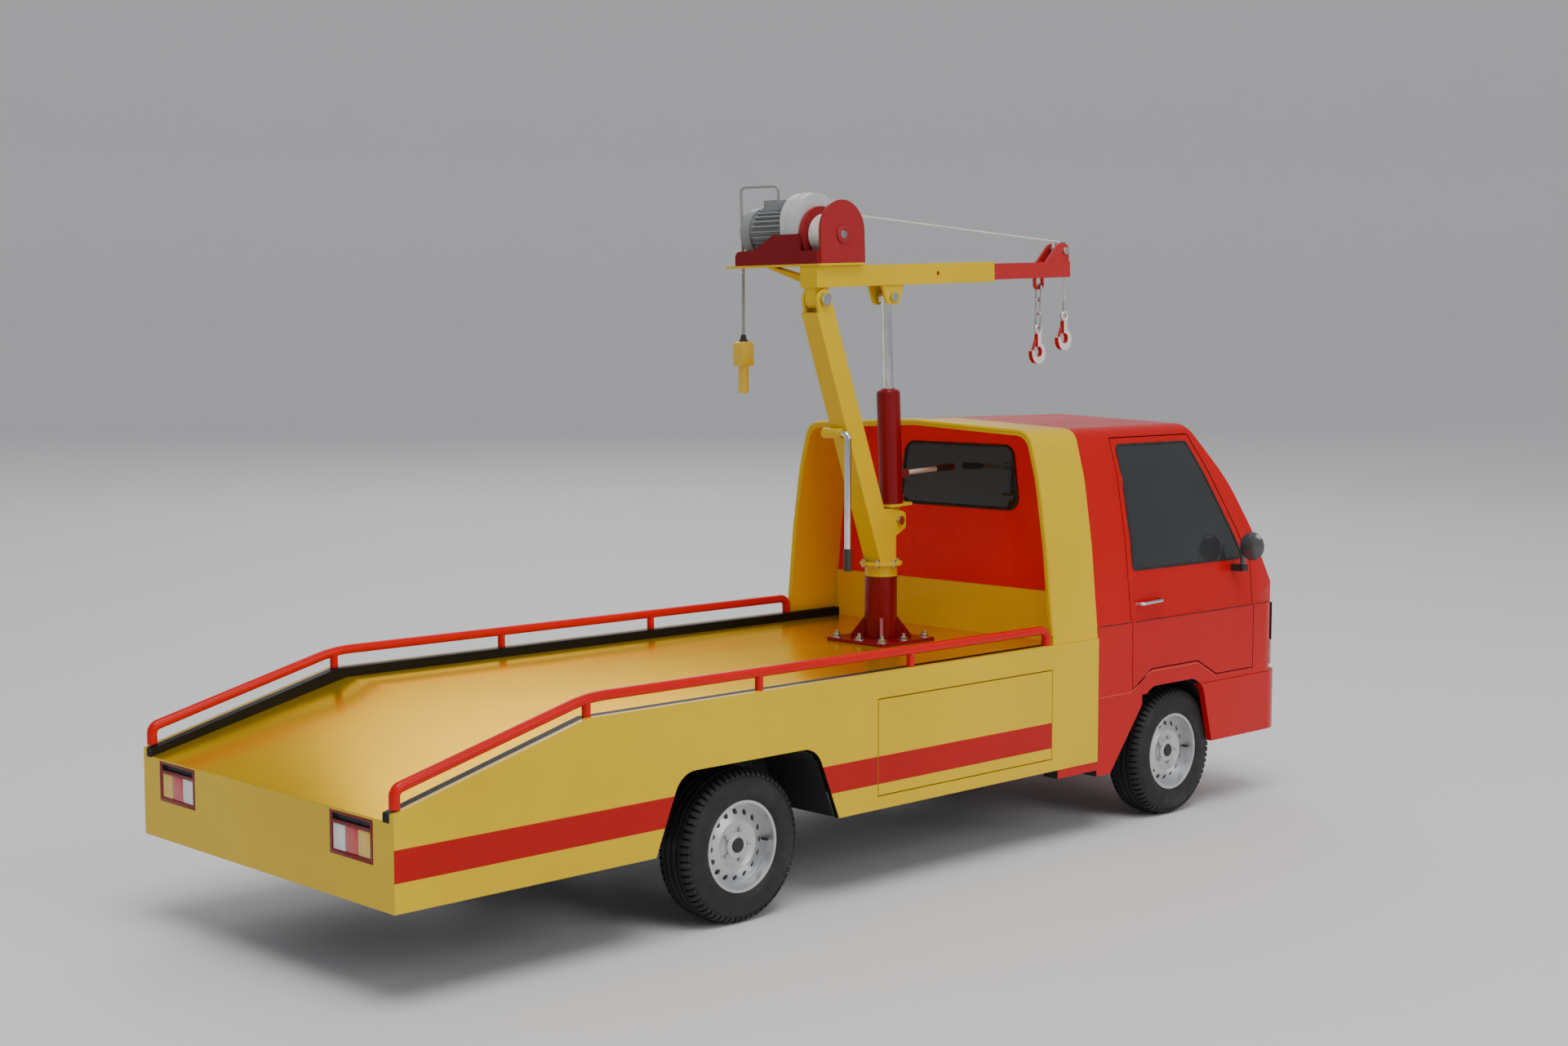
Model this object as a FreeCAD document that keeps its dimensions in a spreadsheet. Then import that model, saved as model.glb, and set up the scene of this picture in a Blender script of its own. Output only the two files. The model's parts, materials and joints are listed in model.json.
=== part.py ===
"""Toy tow truck with a slewing hand-jacked crane, 1:16, millimetres.

Frame: +X forward, +Y to the truck's left, +Z up. The origin is on the ground, half way
along the truck and half way across it. Boom parts are drawn along their own axes, with
the luffing pivot as origin, and jack parts with the jack's foot pin as origin; each
group is then put in place by its Placement.
"""
import FreeCAD, Part
import Sketcher
import math
import operator
import os

SIZES = {
    # the truck as a whole
    "total_length": 350.0, "body_width": 111.5, "sill_level": 22.7, "wall_x": 74.7,
    "rear_axle_x": -67.5, "front_axle_x": 116.9,
    # wheels
    "tyre_radius": 19.84, "tyre_width": 12.5, "rim_radius": 11.9, "wheel_face_y": 53.5,
    "axle_radius": 1.6, "dish_depth": 3.0, "rim_holes": 16, "hole_circle": 8.6,
    "hole_radius": 0.75, "hub_radius": 3.4,
    # flat bed
    "skin": 1.6, "deck_low": 43.1, "deck_level": 57.1, "edge_low": 45.0,
    "edge_level": 59.7, "knee_x": -120.0, "deck_knee_x": -117.0, "deck_skin": 1.8,
    "channel_width": 2.65, "seat_depth": 0.25, "arch_top": 42.6, "arch_half_top": 23.5,
    "arch_half_foot": 31.8, "arch_round": 7.0,
    # lockers
    "locker_rear": -20.9, "locker_front": 53.1, "locker_low": 26.2, "locker_high": 52.7,
    "locker_depth": 20.0, "door_skin": 1.4, "gap": 0.3,
    # rails
    "rail_radius": 1.3, "rail_y": 54.0, "rail_level": 64.3, "rail_rear": -173.5,
    "rail_front": 51.9, "post_radius": 1.1,
    # tail lamps
    "lamp_inner": 30.2, "lamp_outer": 47.7, "lamp_low": 32.5, "lamp_high": 42.6,
    # cab and hoop
    "hoop_rear": 53.75, "cab_skin": 1.8, "cab_half": 55.35, "waist_level": 63.0,
    "shoulder_half": 54.7, "mid_half": 52.6, "mid_level": 87.5, "upper_half": 49.6,
    "upper_level": 107.0, "corner_half": 45.6, "corner_level": 121.6,
    "crown_level": 123.75, "roof_round": 5.0, "nose_x": 171.9, "nose_level": 67.7,
    "plinth_level": 40.3, "cab_foot": 18.1, "floor_level": 44.2, "nose_round": 9.0,
    "wall_yellow_top": 72.3, "fender_foot_rear": 79.0,
    "fender_top_rear": 101.1, "fender_top_front": 127.5, "fender_foot_front": 135.1,
    # front end
    "bumper_low": 21.4, "bumper_rear": 126.0, "bumper_skin": 2.0, "trim": 0.7,
    # crane foot
    "crane_x": 39.4, "plate_half": 11.9, "plate_thick": 1.0, "bolt_pitch": 9.4,
    "bolt_radius": 0.6, "nut_radius": 1.25, "nut_height": 1.1, "pedestal_radius": 4.9,
    "spindle_radius": 3.5, "pedestal_top": 76.75, "gusset_foot": 9.2,
    "gusset_top": 64.4, "gusset_thick": 1.0,
    # crane column
    "flange_low": 80.3, "flange_high": 81.3, "flange_radius": 6.4, "column_lean": 20.0,
    "column_half_x": 3.75, "column_half_y": 3.25, "column_wall": 0.9,
    "column_top": 156.0, "socket_x": 20.2, "socket_z": 120.6, "socket_radius": 1.55,
    "handle_radius": 0.98, "handle_y": -4.5, "handle_foot": 80.0, "grip_top": 86.6,
    # jack
    "jack_foot_x": 44.1, "jack_foot_z": 93.6, "jack_lean": -2.637, "jack_length": 67.37,
    "jack_radius": 3.58, "jack_low": 5.0, "jack_high": 38.6, "ram_radius": 1.73,
    "pin_radius": 0.8, "lever_x": 5.1, "lever_z": 13.75, "lever_length": 23.6,
    "lever_radius": 0.75,
    # boom
    "pivot_x": 11.56, "pivot_z": 159.8, "boom_pitch": -2.3, "pivot_radius": 1.2,
    "boom_rear": -3.0, "boom_front": 76.0, "boom_low": 3.43, "boom_high": 9.68,
    "boom_half": 3.45, "boom_wall": 0.55, "slide_gap": 0.06, "inner_rear": 40.0,
    "inner_front": 114.75, "sheave_x": 112.75, "sheave_z": 12.6, "sheave_groove": 2.45,
    "sheave_rim": 3.0, "rope_radius": 0.35, "staple_x": 101.8, "staple_z": 0.9,
    "staple_half": 1.9, "staple_radius": 0.6,
    # winch
    "drum_x": 6.7, "drum_z": 18.7, "drum_core": 4.6, "rope_pack": 6.2,
    "drum_rim": 9.06, "platform_y": 34.8, "platform_thick": 0.7, "tray_thick": 0.7,
    "cheek_half": 9.15, "motor_z": 20.3, "motor_core": 6.2, "fin_height": 1.0,
    "fin_count": 28, "cable_radius": 0.46, "cable_x": 1.5, "cable_y": 32.3,
    # what hangs
    "link_length": 5.96, "link_count": 3, "link_width": 2.9, "link_wire": 0.375, "chain_x": 113.24,
    "staple_level": 164.78, "hook_half": 0.8, "eye_radius": 1.35, "eye_wire": 0.5,
    "chain_eye": 151.35, "rope_eye": 155.7, "pendant_x": 12.66, "pendant_top": 147.6,
}


def text_of(number):
    """The sheet expression behind a number, or the number itself as text."""
    return getattr(number, "text", format(float(number), ".6g"))


def combined(sign, work, turned=False):
    """An arithmetic method that works on the value and on the expression alike."""
    def method(one, other):
        first, second = (other, one) if turned else (one, other)
        text = "(%s %s %s)" % (text_of(first), sign, text_of(second))
        return Size(work(float(first), float(second)), text)
    return method


class Size(float):
    """A length that remembers which expression in the sheet it comes from."""

    def __new__(cls, value, text):
        made = float.__new__(cls, value)
        made.text = text
        return made

    def __neg__(self):
        return Size(-float(self), "(-%s)" % self.text)

    __add__ = combined("+", operator.add)
    __radd__ = combined("+", operator.add, True)
    __sub__ = combined("-", operator.sub)
    __rsub__ = combined("-", operator.sub, True)
    __mul__ = combined("*", operator.mul)
    __rmul__ = combined("*", operator.mul, True)
    __truediv__ = combined("/", operator.truediv)


class Sizes:
    """The driving dimensions, kept in a spreadsheet and read back from it."""

    def __init__(self, document, values):
        self.sheet = document.addObject("Spreadsheet::Sheet", "Sizes")
        for row, (alias, number) in enumerate(values.items(), 1):
            self.sheet.set("A%d" % row, alias)
            self.sheet.set("B%d" % row, str(number))
            self.sheet.setAlias("B%d" % row, alias)
        document.recompute()

    def __getattr__(self, alias):
        return Size(self.sheet.get(alias), "Sizes." + alias)


doc = FreeCAD.newDocument("toy_tow_truck")
s = Sizes(doc, SIZES)
NODES = []
PLANES = {"XY": ("XY_Plane", (0, 1)), "XZ": ("XZ_Plane", (0, 2)), "YZ": ("YZ_Plane", (1, 2))}
TURNS = {"X": ((0, 1, 0), 90), "Y": ((1, 0, 0), -90), "Z": ((0, 0, 1), 0)}


def bind(obj, path, number):
    """Set a property, through the sheet when the number comes from it."""
    if hasattr(number, "text"):
        obj.setExpression(path, number.text)
    else:
        holder, names = obj, path.split(".")
        if len(names) == 1:
            setattr(holder, path, number)
        else:
            obj.setExpression(path, format(float(number), ".6g"))


def place(obj, at=(0, 0, 0), axis=(0, 0, 1), angle=0.0):
    """Put an object at a point, turned about an axis."""
    obj.Placement = FreeCAD.Placement(FreeCAD.Vector(), FreeCAD.Rotation(FreeCAD.Vector(*axis), float(angle)))
    for letter, number in zip("xyz", at):
        if float(number) != 0 or hasattr(number, "text"):
            bind(obj, "Placement.Base." + letter, number)
    return obj


def box(name, x, y, z):
    """A block between two values on each axis."""
    made = doc.addObject("Part::Box", name)
    for prop, (low, high) in zip(("Length", "Width", "Height"), (x, y, z)):
        bind(made, prop, high - low)
    return place(made, (x[0], y[0], z[0]))


def rod(name, radius, at, length, along="Z"):
    """A round bar that starts at a point and runs along +X, +Y or +Z."""
    made = doc.addObject("Part::Cylinder", name)
    bind(made, "Radius", radius)
    bind(made, "Height", length)
    axis, angle = TURNS[along]
    return place(made, at, axis, angle)


def hexagon(name, radius, at, length, along="Z"):
    """A hexagonal bar, for bolt heads and nuts."""
    made = doc.addObject("Part::Prism", name)
    made.Polygon = 6
    bind(made, "Circumradius", radius)
    bind(made, "Height", length)
    axis, angle = TURNS[along]
    return place(made, at, axis, angle)


def fuse(name, *parts):
    """One solid made of several."""
    made = doc.addObject("Part::MultiFuse", name)
    made.Shapes = list(parts)
    made.Refine = True
    return made


def group(name, *parts):
    """Several separate solids kept as one object."""
    made = doc.addObject("Part::Compound", name)
    made.Links = list(parts)
    return made


def cut(name, base, *tools):
    """A solid less one or more others."""
    made = doc.addObject("Part::Cut", name)
    made.Base = base
    made.Tool = tools[0] if len(tools) == 1 else group(name + "_tools", *tools)
    return made


def common(name, *parts):
    """What several solids share."""
    made = doc.addObject("Part::MultiCommon", name)
    made.Shapes = list(parts)
    return made


def node(label, obj):
    """Name a finished sub-part."""
    obj.Label = label
    NODES.append(obj)
    return obj


def sketch_on(body, plane, name):
    """A sketch on one of a body's own origin planes."""
    made = body.newObject("Sketcher::SketchObject", name)
    role = PLANES[plane][0]
    planes = [feature for feature in body.Origin.OriginFeatures if feature.Role == role]
    made.AttachmentSupport = [(planes[0], "")]
    made.MapMode = "FlatFace"
    return made


def draw(sketch, corners):
    """Close a polygon whose corners are dimensioned from the sketch's origin."""
    count = len(corners)
    points = [FreeCAD.Vector(float(u), float(v), 0) for u, v in corners]
    for index in range(count):
        sketch.addGeometry(Part.LineSegment(points[index], points[(index + 1) % count]), False)
    for index in range(count):
        sketch.addConstraint(Sketcher.Constraint("Coincident", index, 2, (index + 1) % count, 1))
    for index, (u, v) in enumerate(corners):
        for kind, number in (("DistanceX", u), ("DistanceY", v)):
            at = sketch.addConstraint(Sketcher.Constraint(kind, -1, 1, index, 1, float(number)))
            if hasattr(number, "text"):
                sketch.setExpression("Constraints[%d]" % at, number.text)


def plate(name, plane, corners, thick, rounds=(), at=(0, 0, 0), axis=(0, 0, 1), angle=0.0):
    """A prism with a polygon outline, centred on its plane, with chosen corners rounded."""
    body = doc.addObject("PartDesign::Body", name)
    sketch = sketch_on(body, plane, name + "_outline")
    draw(sketch, corners)
    pad = body.newObject("PartDesign::Pad", name + "_pad")
    pad.Profile = sketch
    pad.Midplane = True
    bind(pad, "Length", thick)
    doc.recompute()
    first, second = PLANES[plane][1]
    feature = pad
    for radius, chosen in rounds:
        wanted = [(float(corners[index][0]), float(corners[index][1])) for index in chosen]
        edges = []
        for number, edge in enumerate(feature.Shape.Edges, 1):
            ends = [(vertex.Point[first], vertex.Point[second]) for vertex in edge.Vertexes]
            if len(ends) == 2 and math.dist(*ends) < 1e-4:
                if any(math.dist(ends[0], spot) < 1e-4 for spot in wanted):
                    edges.append("Edge%d" % number)
        fillet = body.newObject("PartDesign::Fillet", name + "_round")
        fillet.Base = (feature, edges)
        bind(fillet, "Radius", radius)
        doc.recompute()
        feature = fillet
    return place(body, at, axis, angle)


def turned(name, profile, holes=None):
    """A body of revolution about its own Z axis, with an optional circle of holes."""
    body = doc.addObject("PartDesign::Body", name)
    sketch = sketch_on(body, "XZ", name + "_profile")
    draw(sketch, profile)
    spin = body.newObject("PartDesign::Revolution", name + "_spin")
    spin.Profile = sketch
    spin.ReferenceAxis = (sketch, ["V_Axis"])
    spin.Angle = 360
    doc.recompute()
    if holes:
        count, circle, radius = holes
        spot = sketch_on(body, "XY", name + "_hole")
        spot.addGeometry(Part.Circle(FreeCAD.Vector(circle, 0, 0), FreeCAD.Vector(0, 0, 1), radius), False)
        spot.addConstraint(Sketcher.Constraint("PointOnObject", 0, 3, -1))
        at = spot.addConstraint(Sketcher.Constraint("DistanceX", -1, 1, 0, 3, float(circle)))
        spot.setExpression("Constraints[%d]" % at, circle.text)
        at = spot.addConstraint(Sketcher.Constraint("Radius", 0, float(radius)))
        spot.setExpression("Constraints[%d]" % at, radius.text)
        pocket = body.newObject("PartDesign::Pocket", name + "_pocket")
        pocket.Profile = spot
        pocket.Type = "ThroughAll"
        pocket.Midplane = True
        doc.recompute()
        assert pocket.Shape.Volume < spin.Shape.Volume
        pattern = body.newObject("PartDesign::PolarPattern", name + "_ring")
        pattern.Originals = [pocket]
        pattern.Axis = (spot, ["N_Axis"])
        pattern.Angle = 360
        pattern.Occurrences = int(count)
        body.Tip = pattern
    return body


def route_edges(points, radii):
    """Straight runs between points, joined by tangent arcs of the given radii."""
    edges, start = [], points[0]
    for index, radius in enumerate(radii, 1):
        corner = points[index]
        back = (points[index - 1] - corner).normalize()
        ahead = (points[index + 1] - corner).normalize()
        half = back.getAngle(ahead) / 2
        reach = radius / math.tan(half)
        middle = corner + (back + ahead).normalize() * (radius / math.sin(half) - radius)
        first, last = corner + back * reach, corner + ahead * reach
        edges.append(Part.LineSegment(start, first).toShape())
        edges.append(Part.Arc(first, middle, last).toShape())
        start = last
    edges.append(Part.LineSegment(start, points[-1]).toShape())
    return edges


def tube(name, radius, points, radii):
    """A round bar along a route of straight runs and tangent arcs."""
    points = [FreeCAD.Vector(*[float(value) for value in point]) for point in points]
    path = Part.Wire(route_edges(points, [float(value) for value in radii]))
    ring = Part.Wire(Part.Circle(points[0], points[1] - points[0], float(radius)).toShape())
    made = doc.addObject("Part::Feature", name)
    made.Shape = path.makePipeShell([ring], True, False)
    return made


def both_sides(maker, name):
    """The same piece on the left (+1) and on the right (-1)."""
    return [maker("%s_%s" % (name, side), sign) for side, sign in (("left", 1), ("right", -1))]


def on_boom(obj):
    """Put a part drawn in the boom's own axes in its place."""
    return place(obj, (s.pivot_x, 0, s.pivot_z), (0, 1, 0), s.boom_pitch)


def on_jack(obj):
    """Put a part drawn in the jack's own axes in its place."""
    return place(obj, (s.jack_foot_x, 0, s.jack_foot_z), (0, 1, 0), s.jack_lean)


# ---------------------------------------------------------------- running gear

def tyre(name):
    """A tyre with square shoulders, turned about its own Z axis."""
    half = s.tyre_width / 2
    flank = [(s.rim_radius, -half + 1.0), (s.rim_radius + 1.2, -half + 0.15),
             (s.rim_radius + 4.2, -half), (s.tyre_radius - 1.1, -half + 0.9),
             (s.tyre_radius, -half + 2.4)]
    mirrored = [(radius, -height) for radius, height in reversed(flank)]
    return turned(name, flank + mirrored)


def rim(name):
    """A dished steel rim with a ring of round holes; its outer side is +Z."""
    half = s.tyre_width / 2 - 0.9
    face = half - s.dish_depth
    profile = [(s.axle_radius, face - 3.4), (s.hub_radius, face - 3.4), (s.hub_radius, face - 1.4),
               (s.hole_circle - 2.2, face - 0.6), (s.hole_circle + 1.6, face - 1.6),
               (s.rim_radius - 1.1, face - 1.6), (s.rim_radius - 1.1, -half), (s.rim_radius, -half),
               (s.rim_radius, half), (s.rim_radius - 0.8, half), (s.rim_radius - 1.1, face - 0.5),
               (s.hole_circle + 1.6, face - 0.6), (s.hole_circle - 2.2, face + 0.9),
               (s.hub_radius + 1.2, face + 0.3), (s.hub_radius, face + 0.3), (s.hub_radius, face + 0.9),
               (s.axle_radius, face + 0.9)]
    return turned(name, profile, (s.rim_holes, s.hole_circle, s.hole_radius))


def wheel_pair(kind, maker, axle_x):
    """The two wheels' pieces of one kind on an axle, outer sides outwards."""
    pieces = []
    for side, sign in (("left", 1), ("right", -1)):
        piece = maker("%s_%s" % (kind, side))
        middle = (s.wheel_face_y - s.tyre_width / 2) * sign
        pieces.append(place(piece, (axle_x, middle, s.tyre_radius), (1, 0, 0), -90 * sign))
    return node(kind, group(kind + "_pair", *pieces))


def axle(name, axle_x):
    """A straight steel axle from one wheel's hub to the other's."""
    half = s.wheel_face_y - s.dish_depth - 0.9
    return node(name, rod(name, s.axle_radius, (axle_x, -half, s.tyre_radius), half * 2, "Y"))


def chassis():
    """Two long members, cross members, axle hangers, outriggers and the crane's struts."""
    low, high = 27.0, 34.0
    parts = []
    for sign in (1, -1):
        inner, outer = (18, 24) if sign > 0 else (-24, -18)
        parts.append(box("member", (-168, 160), (inner, outer), (low, high)))
        for centre in (s.rear_axle_x, s.front_axle_x):
            parts.append(box("hanger", (centre - 4, centre + 4), (inner, outer), (15.5, low)))
        parts.append(box("strut", (s.crane_x - 8, s.crane_x + 8), (inner, outer),
                         (high, s.deck_level - s.deck_skin)))
        parts.append(box("cab_leg_rear", (80, 88), (inner, outer), (high, s.floor_level)))
        parts.append(box("cab_leg_front", (148, 156), (inner, outer), (high, s.floor_level)))
    for x in (-164, -95, -45, 20, 67, 92, 140):
        parts.append(box("cross", (x, x + 5), (-18, 18), (low, high)))
    reach = s.body_width / 2 - s.skin
    for x in (-150, -28, 62):
        parts.append(box("outrigger", (x, x + 4), (-reach, reach), (low + 0.5, high - 0.5)))
    whole = fuse("chassis_solid", *parts)
    bores = [rod("bore", s.axle_radius + 0.05, (centre, -30, s.tyre_radius), 60, "Y")
             for centre in (s.rear_axle_x, s.front_axle_x)]
    return node("chassis_frame", cut("chassis_cut", whole, *bores))


# ---------------------------------------------------------------- flat bed

def bed_outline(drop=0.0, front=None):
    """The bed's side view, with its top lowered by drop."""
    rear = -s.total_length / 2
    front = front or s.wall_x
    return [(rear, s.sill_level), (rear, s.edge_low - drop), (s.knee_x, s.edge_level - drop),
            (front, s.edge_level - drop), (front, s.sill_level)]


def deck_outline(low_rear, low, top):
    """A slab along the deck: from the given undersides up to a level top."""
    rear = -s.total_length / 2 - 1
    return [(rear, low_rear), (s.deck_knee_x, low), (s.wall_x + 1, low), (s.wall_x + 1, top), (rear, top)]


def arch(name, centre, top, half_top, half_foot, foot, y):
    """The hollow of a wheel arch, open at the bottom."""
    corners = [(centre - half_foot, foot), (centre - half_top, top), (centre + half_top, top),
               (centre + half_foot, foot)]
    return plate(name, "XZ", corners, y, [(s.arch_round, (1, 2))])


def member_gap(name, x):
    """The notch that lets the chassis members pass through a wall."""
    return box(name, x, (-24.3, 24.3), (s.cab_foot - 1, 34.3))


def bed():
    """The yellow bed: sides, rear panel, deck, arches and two locker tubs."""
    half = s.body_width / 2
    inside = half - s.skin
    rear = -s.total_length / 2
    outer = plate("bed_outer", "XZ", bed_outline(), s.body_width)
    recess = plate("deck_recess", "XZ", deck_outline(s.deck_low - 0.25, s.deck_level, s.edge_level + 5),
                   inside * 2)
    hollow = plate("bed_hollow", "XZ",
                   [(rear + 3, s.sill_level - 2), (rear + 3, s.deck_low - s.deck_skin + 0.4),
                    (s.deck_knee_x, s.deck_level - s.deck_skin), (s.wall_x - 1.2, s.deck_level - s.deck_skin),
                    (s.wall_x - 1.2, s.sill_level - 2)], inside * 2)
    shell = cut("bed_shell", outer, recess, hollow,
                arch("rear_arch", s.rear_axle_x, s.arch_top, s.arch_half_top, s.arch_half_foot,
                     s.sill_level - 0.01, s.body_width + 2))
    parts, tools = [shell], []
    for sign in (1, -1):
        back, front = (inside - s.locker_depth), inside
        low, high = s.locker_low - 1.2, s.locker_high + 1.2
        spans = (back - 1.2, front) if sign > 0 else (-front, 1.2 - back)
        parts.append(box("tub", (s.locker_rear - 1.2, s.locker_front + 1.2), spans, (low, high)))
        spans = (back, half + 1) if sign > 0 else (-half - 1, -back)
        tools.append(box("tub_inside", (s.locker_rear, s.locker_front), spans, (s.locker_low, s.locker_high)))
        spans = (s.lamp_inner, s.lamp_outer) if sign > 0 else (-s.lamp_outer, -s.lamp_inner)
        tools.append(box("lamp_recess", (rear - 1, rear + 1.6), spans, (s.lamp_low, s.lamp_high)))
        tools.append(plate("channel_seat", "XZ",
                           deck_outline(s.deck_low - 0.25 - s.seat_depth, s.deck_level - s.seat_depth,
                                         s.edge_level),
                           s.channel_width, at=(0, (inside - s.channel_width / 2) * sign, 0)))
    for x, y in bolt_places():
        tools.append(rod("deck_hole", s.bolt_radius, (x, y, s.deck_level - 3), 4))
    tools.append(member_gap("wall_notch", (s.wall_x - 2, s.wall_x + 1)))
    return node("bed_body", cut("bed_done", fuse("bed_tubs", *parts), *tools))


def channels():
    """The black steel channel along each edge of the deck."""
    inside = s.body_width / 2 - s.skin
    rear = -s.total_length / 2
    corners = [(rear, s.deck_low - s.seat_depth), (rear, s.edge_low), (s.knee_x, s.edge_level),
               (s.wall_x, s.edge_level), (s.wall_x, s.deck_level - s.seat_depth),
               (s.deck_knee_x, s.deck_level - s.seat_depth)]

    def one(name, sign):
        return plate(name, "XZ", corners, s.channel_width, at=(0, (inside - s.channel_width / 2) * sign, 0))
    return node("deck_channels", group("channel_pair", *both_sides(one, "channel")))


def rail(name, sign):
    """One side rail: a bent tube with three posts."""
    y = s.rail_y * sign
    foot = s.edge_low + 0.8
    points = [(s.rail_rear, y, foot), (s.rail_rear, y, 50.2), (s.knee_x + 1, y, s.rail_level),
              (s.rail_front, y, s.rail_level), (s.rail_front, y, s.edge_level)]
    parts = [tube(name + "_tube", s.rail_radius, points, (2.2, 40, 2.6))]
    for x in (s.knee_x + 0.6, -63.1, -6.3):
        parts.append(rod("post", s.post_radius, (x, y, s.edge_level), s.rail_level - s.edge_level))
    return fuse(name, *parts)


def locker_door(label, sign):
    """A top-hung locker door that fills its opening flush with the bed's side."""
    half = s.body_width / 2
    spans = (half - s.door_skin, half) if sign > 0 else (-half, s.door_skin - half)
    return node(label, box(label + "_slab", (s.locker_rear + s.gap, s.locker_front - s.gap), spans,
                           (s.locker_low + s.gap, s.locker_high - s.gap)))


def tail_lamps():
    """A frame in each rear recess, and three lenses side by side in each frame."""
    rear = -s.total_length / 2
    frames, lenses = [], []
    width = (s.lamp_outer - s.lamp_inner - 2.4) / 3
    for sign in (1, -1):
        spans = (s.lamp_inner, s.lamp_outer) if sign > 0 else (-s.lamp_outer, -s.lamp_inner)
        slab = box("lamp_slab", (rear, rear + 1.6), spans, (s.lamp_low, s.lamp_high))
        hole = (spans[0] + 1.2, spans[1] - 1.2)
        well = box("lamp_well", (rear - 1, rear + 1.0), hole, (s.lamp_low + 1.1, s.lamp_high - 3.0))
        slot = box("lamp_slot", (rear - 1, rear + 1.0), hole, (s.lamp_high - 2.1, s.lamp_high - 0.7))
        frames.append(cut("lamp_frame", slab, well, slot))
        for index in range(3):
            start = hole[0] + width * index
            lenses.append(box("lens", (rear + 0.15, rear + 1.0), (start, start + width - 0.02),
                              (s.lamp_low + 1.1, s.lamp_high - 3.0)))
    node("tail_lamp_frames", group("frame_pair", *frames))
    node("tail_lamp_lenses", group("lens_row", *lenses))


# ---------------------------------------------------------------- cab

def section(inset=0.0, foot=None, half_foot=None):
    """The cross-section shared by the cab and the hoop, from a level up to the crown."""
    side = [(half_foot - inset if half_foot else s.cab_half - inset, foot),
            (s.mid_half - inset, s.mid_level), (s.upper_half - inset, s.upper_level),
            (s.corner_half - inset * 0.8, s.corner_level - inset)]
    if half_foot is None:
        side[1:1] = [(s.cab_half - inset, s.waist_level), (s.shoulder_half - inset, s.waist_level + 0.7)]
    top = [(0.0, s.crown_level - inset)]
    return side + top + [(-half, level) for half, level in reversed(side)]


def cab_block(name, inset):
    """The cab as a solid: its cross-section, side view and plan in common."""
    corners = section(inset, s.cab_foot - 1)
    front = plate(name + "_front", "YZ", corners, 120.0,
                  [(s.roof_round, (5, 7)), (60.0, (3, 4, 8, 9))], at=(125, 0, 0))
    nose = s.nose_x - inset
    rear = s.wall_x + max(inset, 0)
    foot = s.plinth_level if inset <= 0 else s.plinth_level - 2
    side = plate(name + "_side", "XZ",
                 [(rear, s.cab_foot - max(inset, 0)), (97, s.cab_foot - max(inset, 0)), (97, foot),
                  (nose, foot), (nose, s.nose_level - 8), (nose - 3.6, s.nose_level),
                  (nose - 13.4, 86.6), (nose - 22.8, 101.3), (nose - 41.2, 121.9 - inset / 2),
                  (nose - 50, 125), (rear, 125)], 130.0,
                 [(14.0, (4,)), (60.0, (6, 7)), (9.0, (8,))])
    half = s.body_width / 2 + 2 - inset - 2.4
    plan = plate(name + "_plan", "XY", [(60, -half), (nose, -half), (nose, half), (60, half)], 300.0,
                 [(s.nose_round - inset, (1, 2))])
    return common(name, front, side, plan)


def door_outline(grow):
    """The door's side view, grown all round."""
    return [(92.3 - grow, 42.7 - grow), (90.5 - grow, 118.3 + grow), (130.2 + grow, 118.3 + grow),
            (156.0 + grow, 77.2 + grow / 2), (156.0 + grow, 42.7 - grow), (136.0 - grow, 42.7 - grow),
            (125.8 - grow, 47.9 - grow), (101.6 + grow, 47.9 - grow), (92.6 + grow * 2, 42.7 - grow)]


def side_prism(name, corners, sign, rounds=()):
    """A prism through one side of the cab only."""
    return plate(name, "XZ", corners, 30.0, rounds, at=(0, 50 * sign, 0))


WINDOW = [(92.7, 116.2), (128.6, 116.2), (152.4, 78.3), (94.2, 78.5)]


def fender(name):
    """The hollow of the front wheel arches, across the whole cab."""
    top, foot = s.arch_top - 0.3, s.cab_foot - 3
    corners = [(s.fender_foot_rear, foot), (s.fender_top_rear, top), (s.fender_top_front, top),
               (s.fender_foot_front, foot)]
    return plate(name, "XZ", corners, 130.0, [(s.arch_round, (1, 2))])


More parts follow.
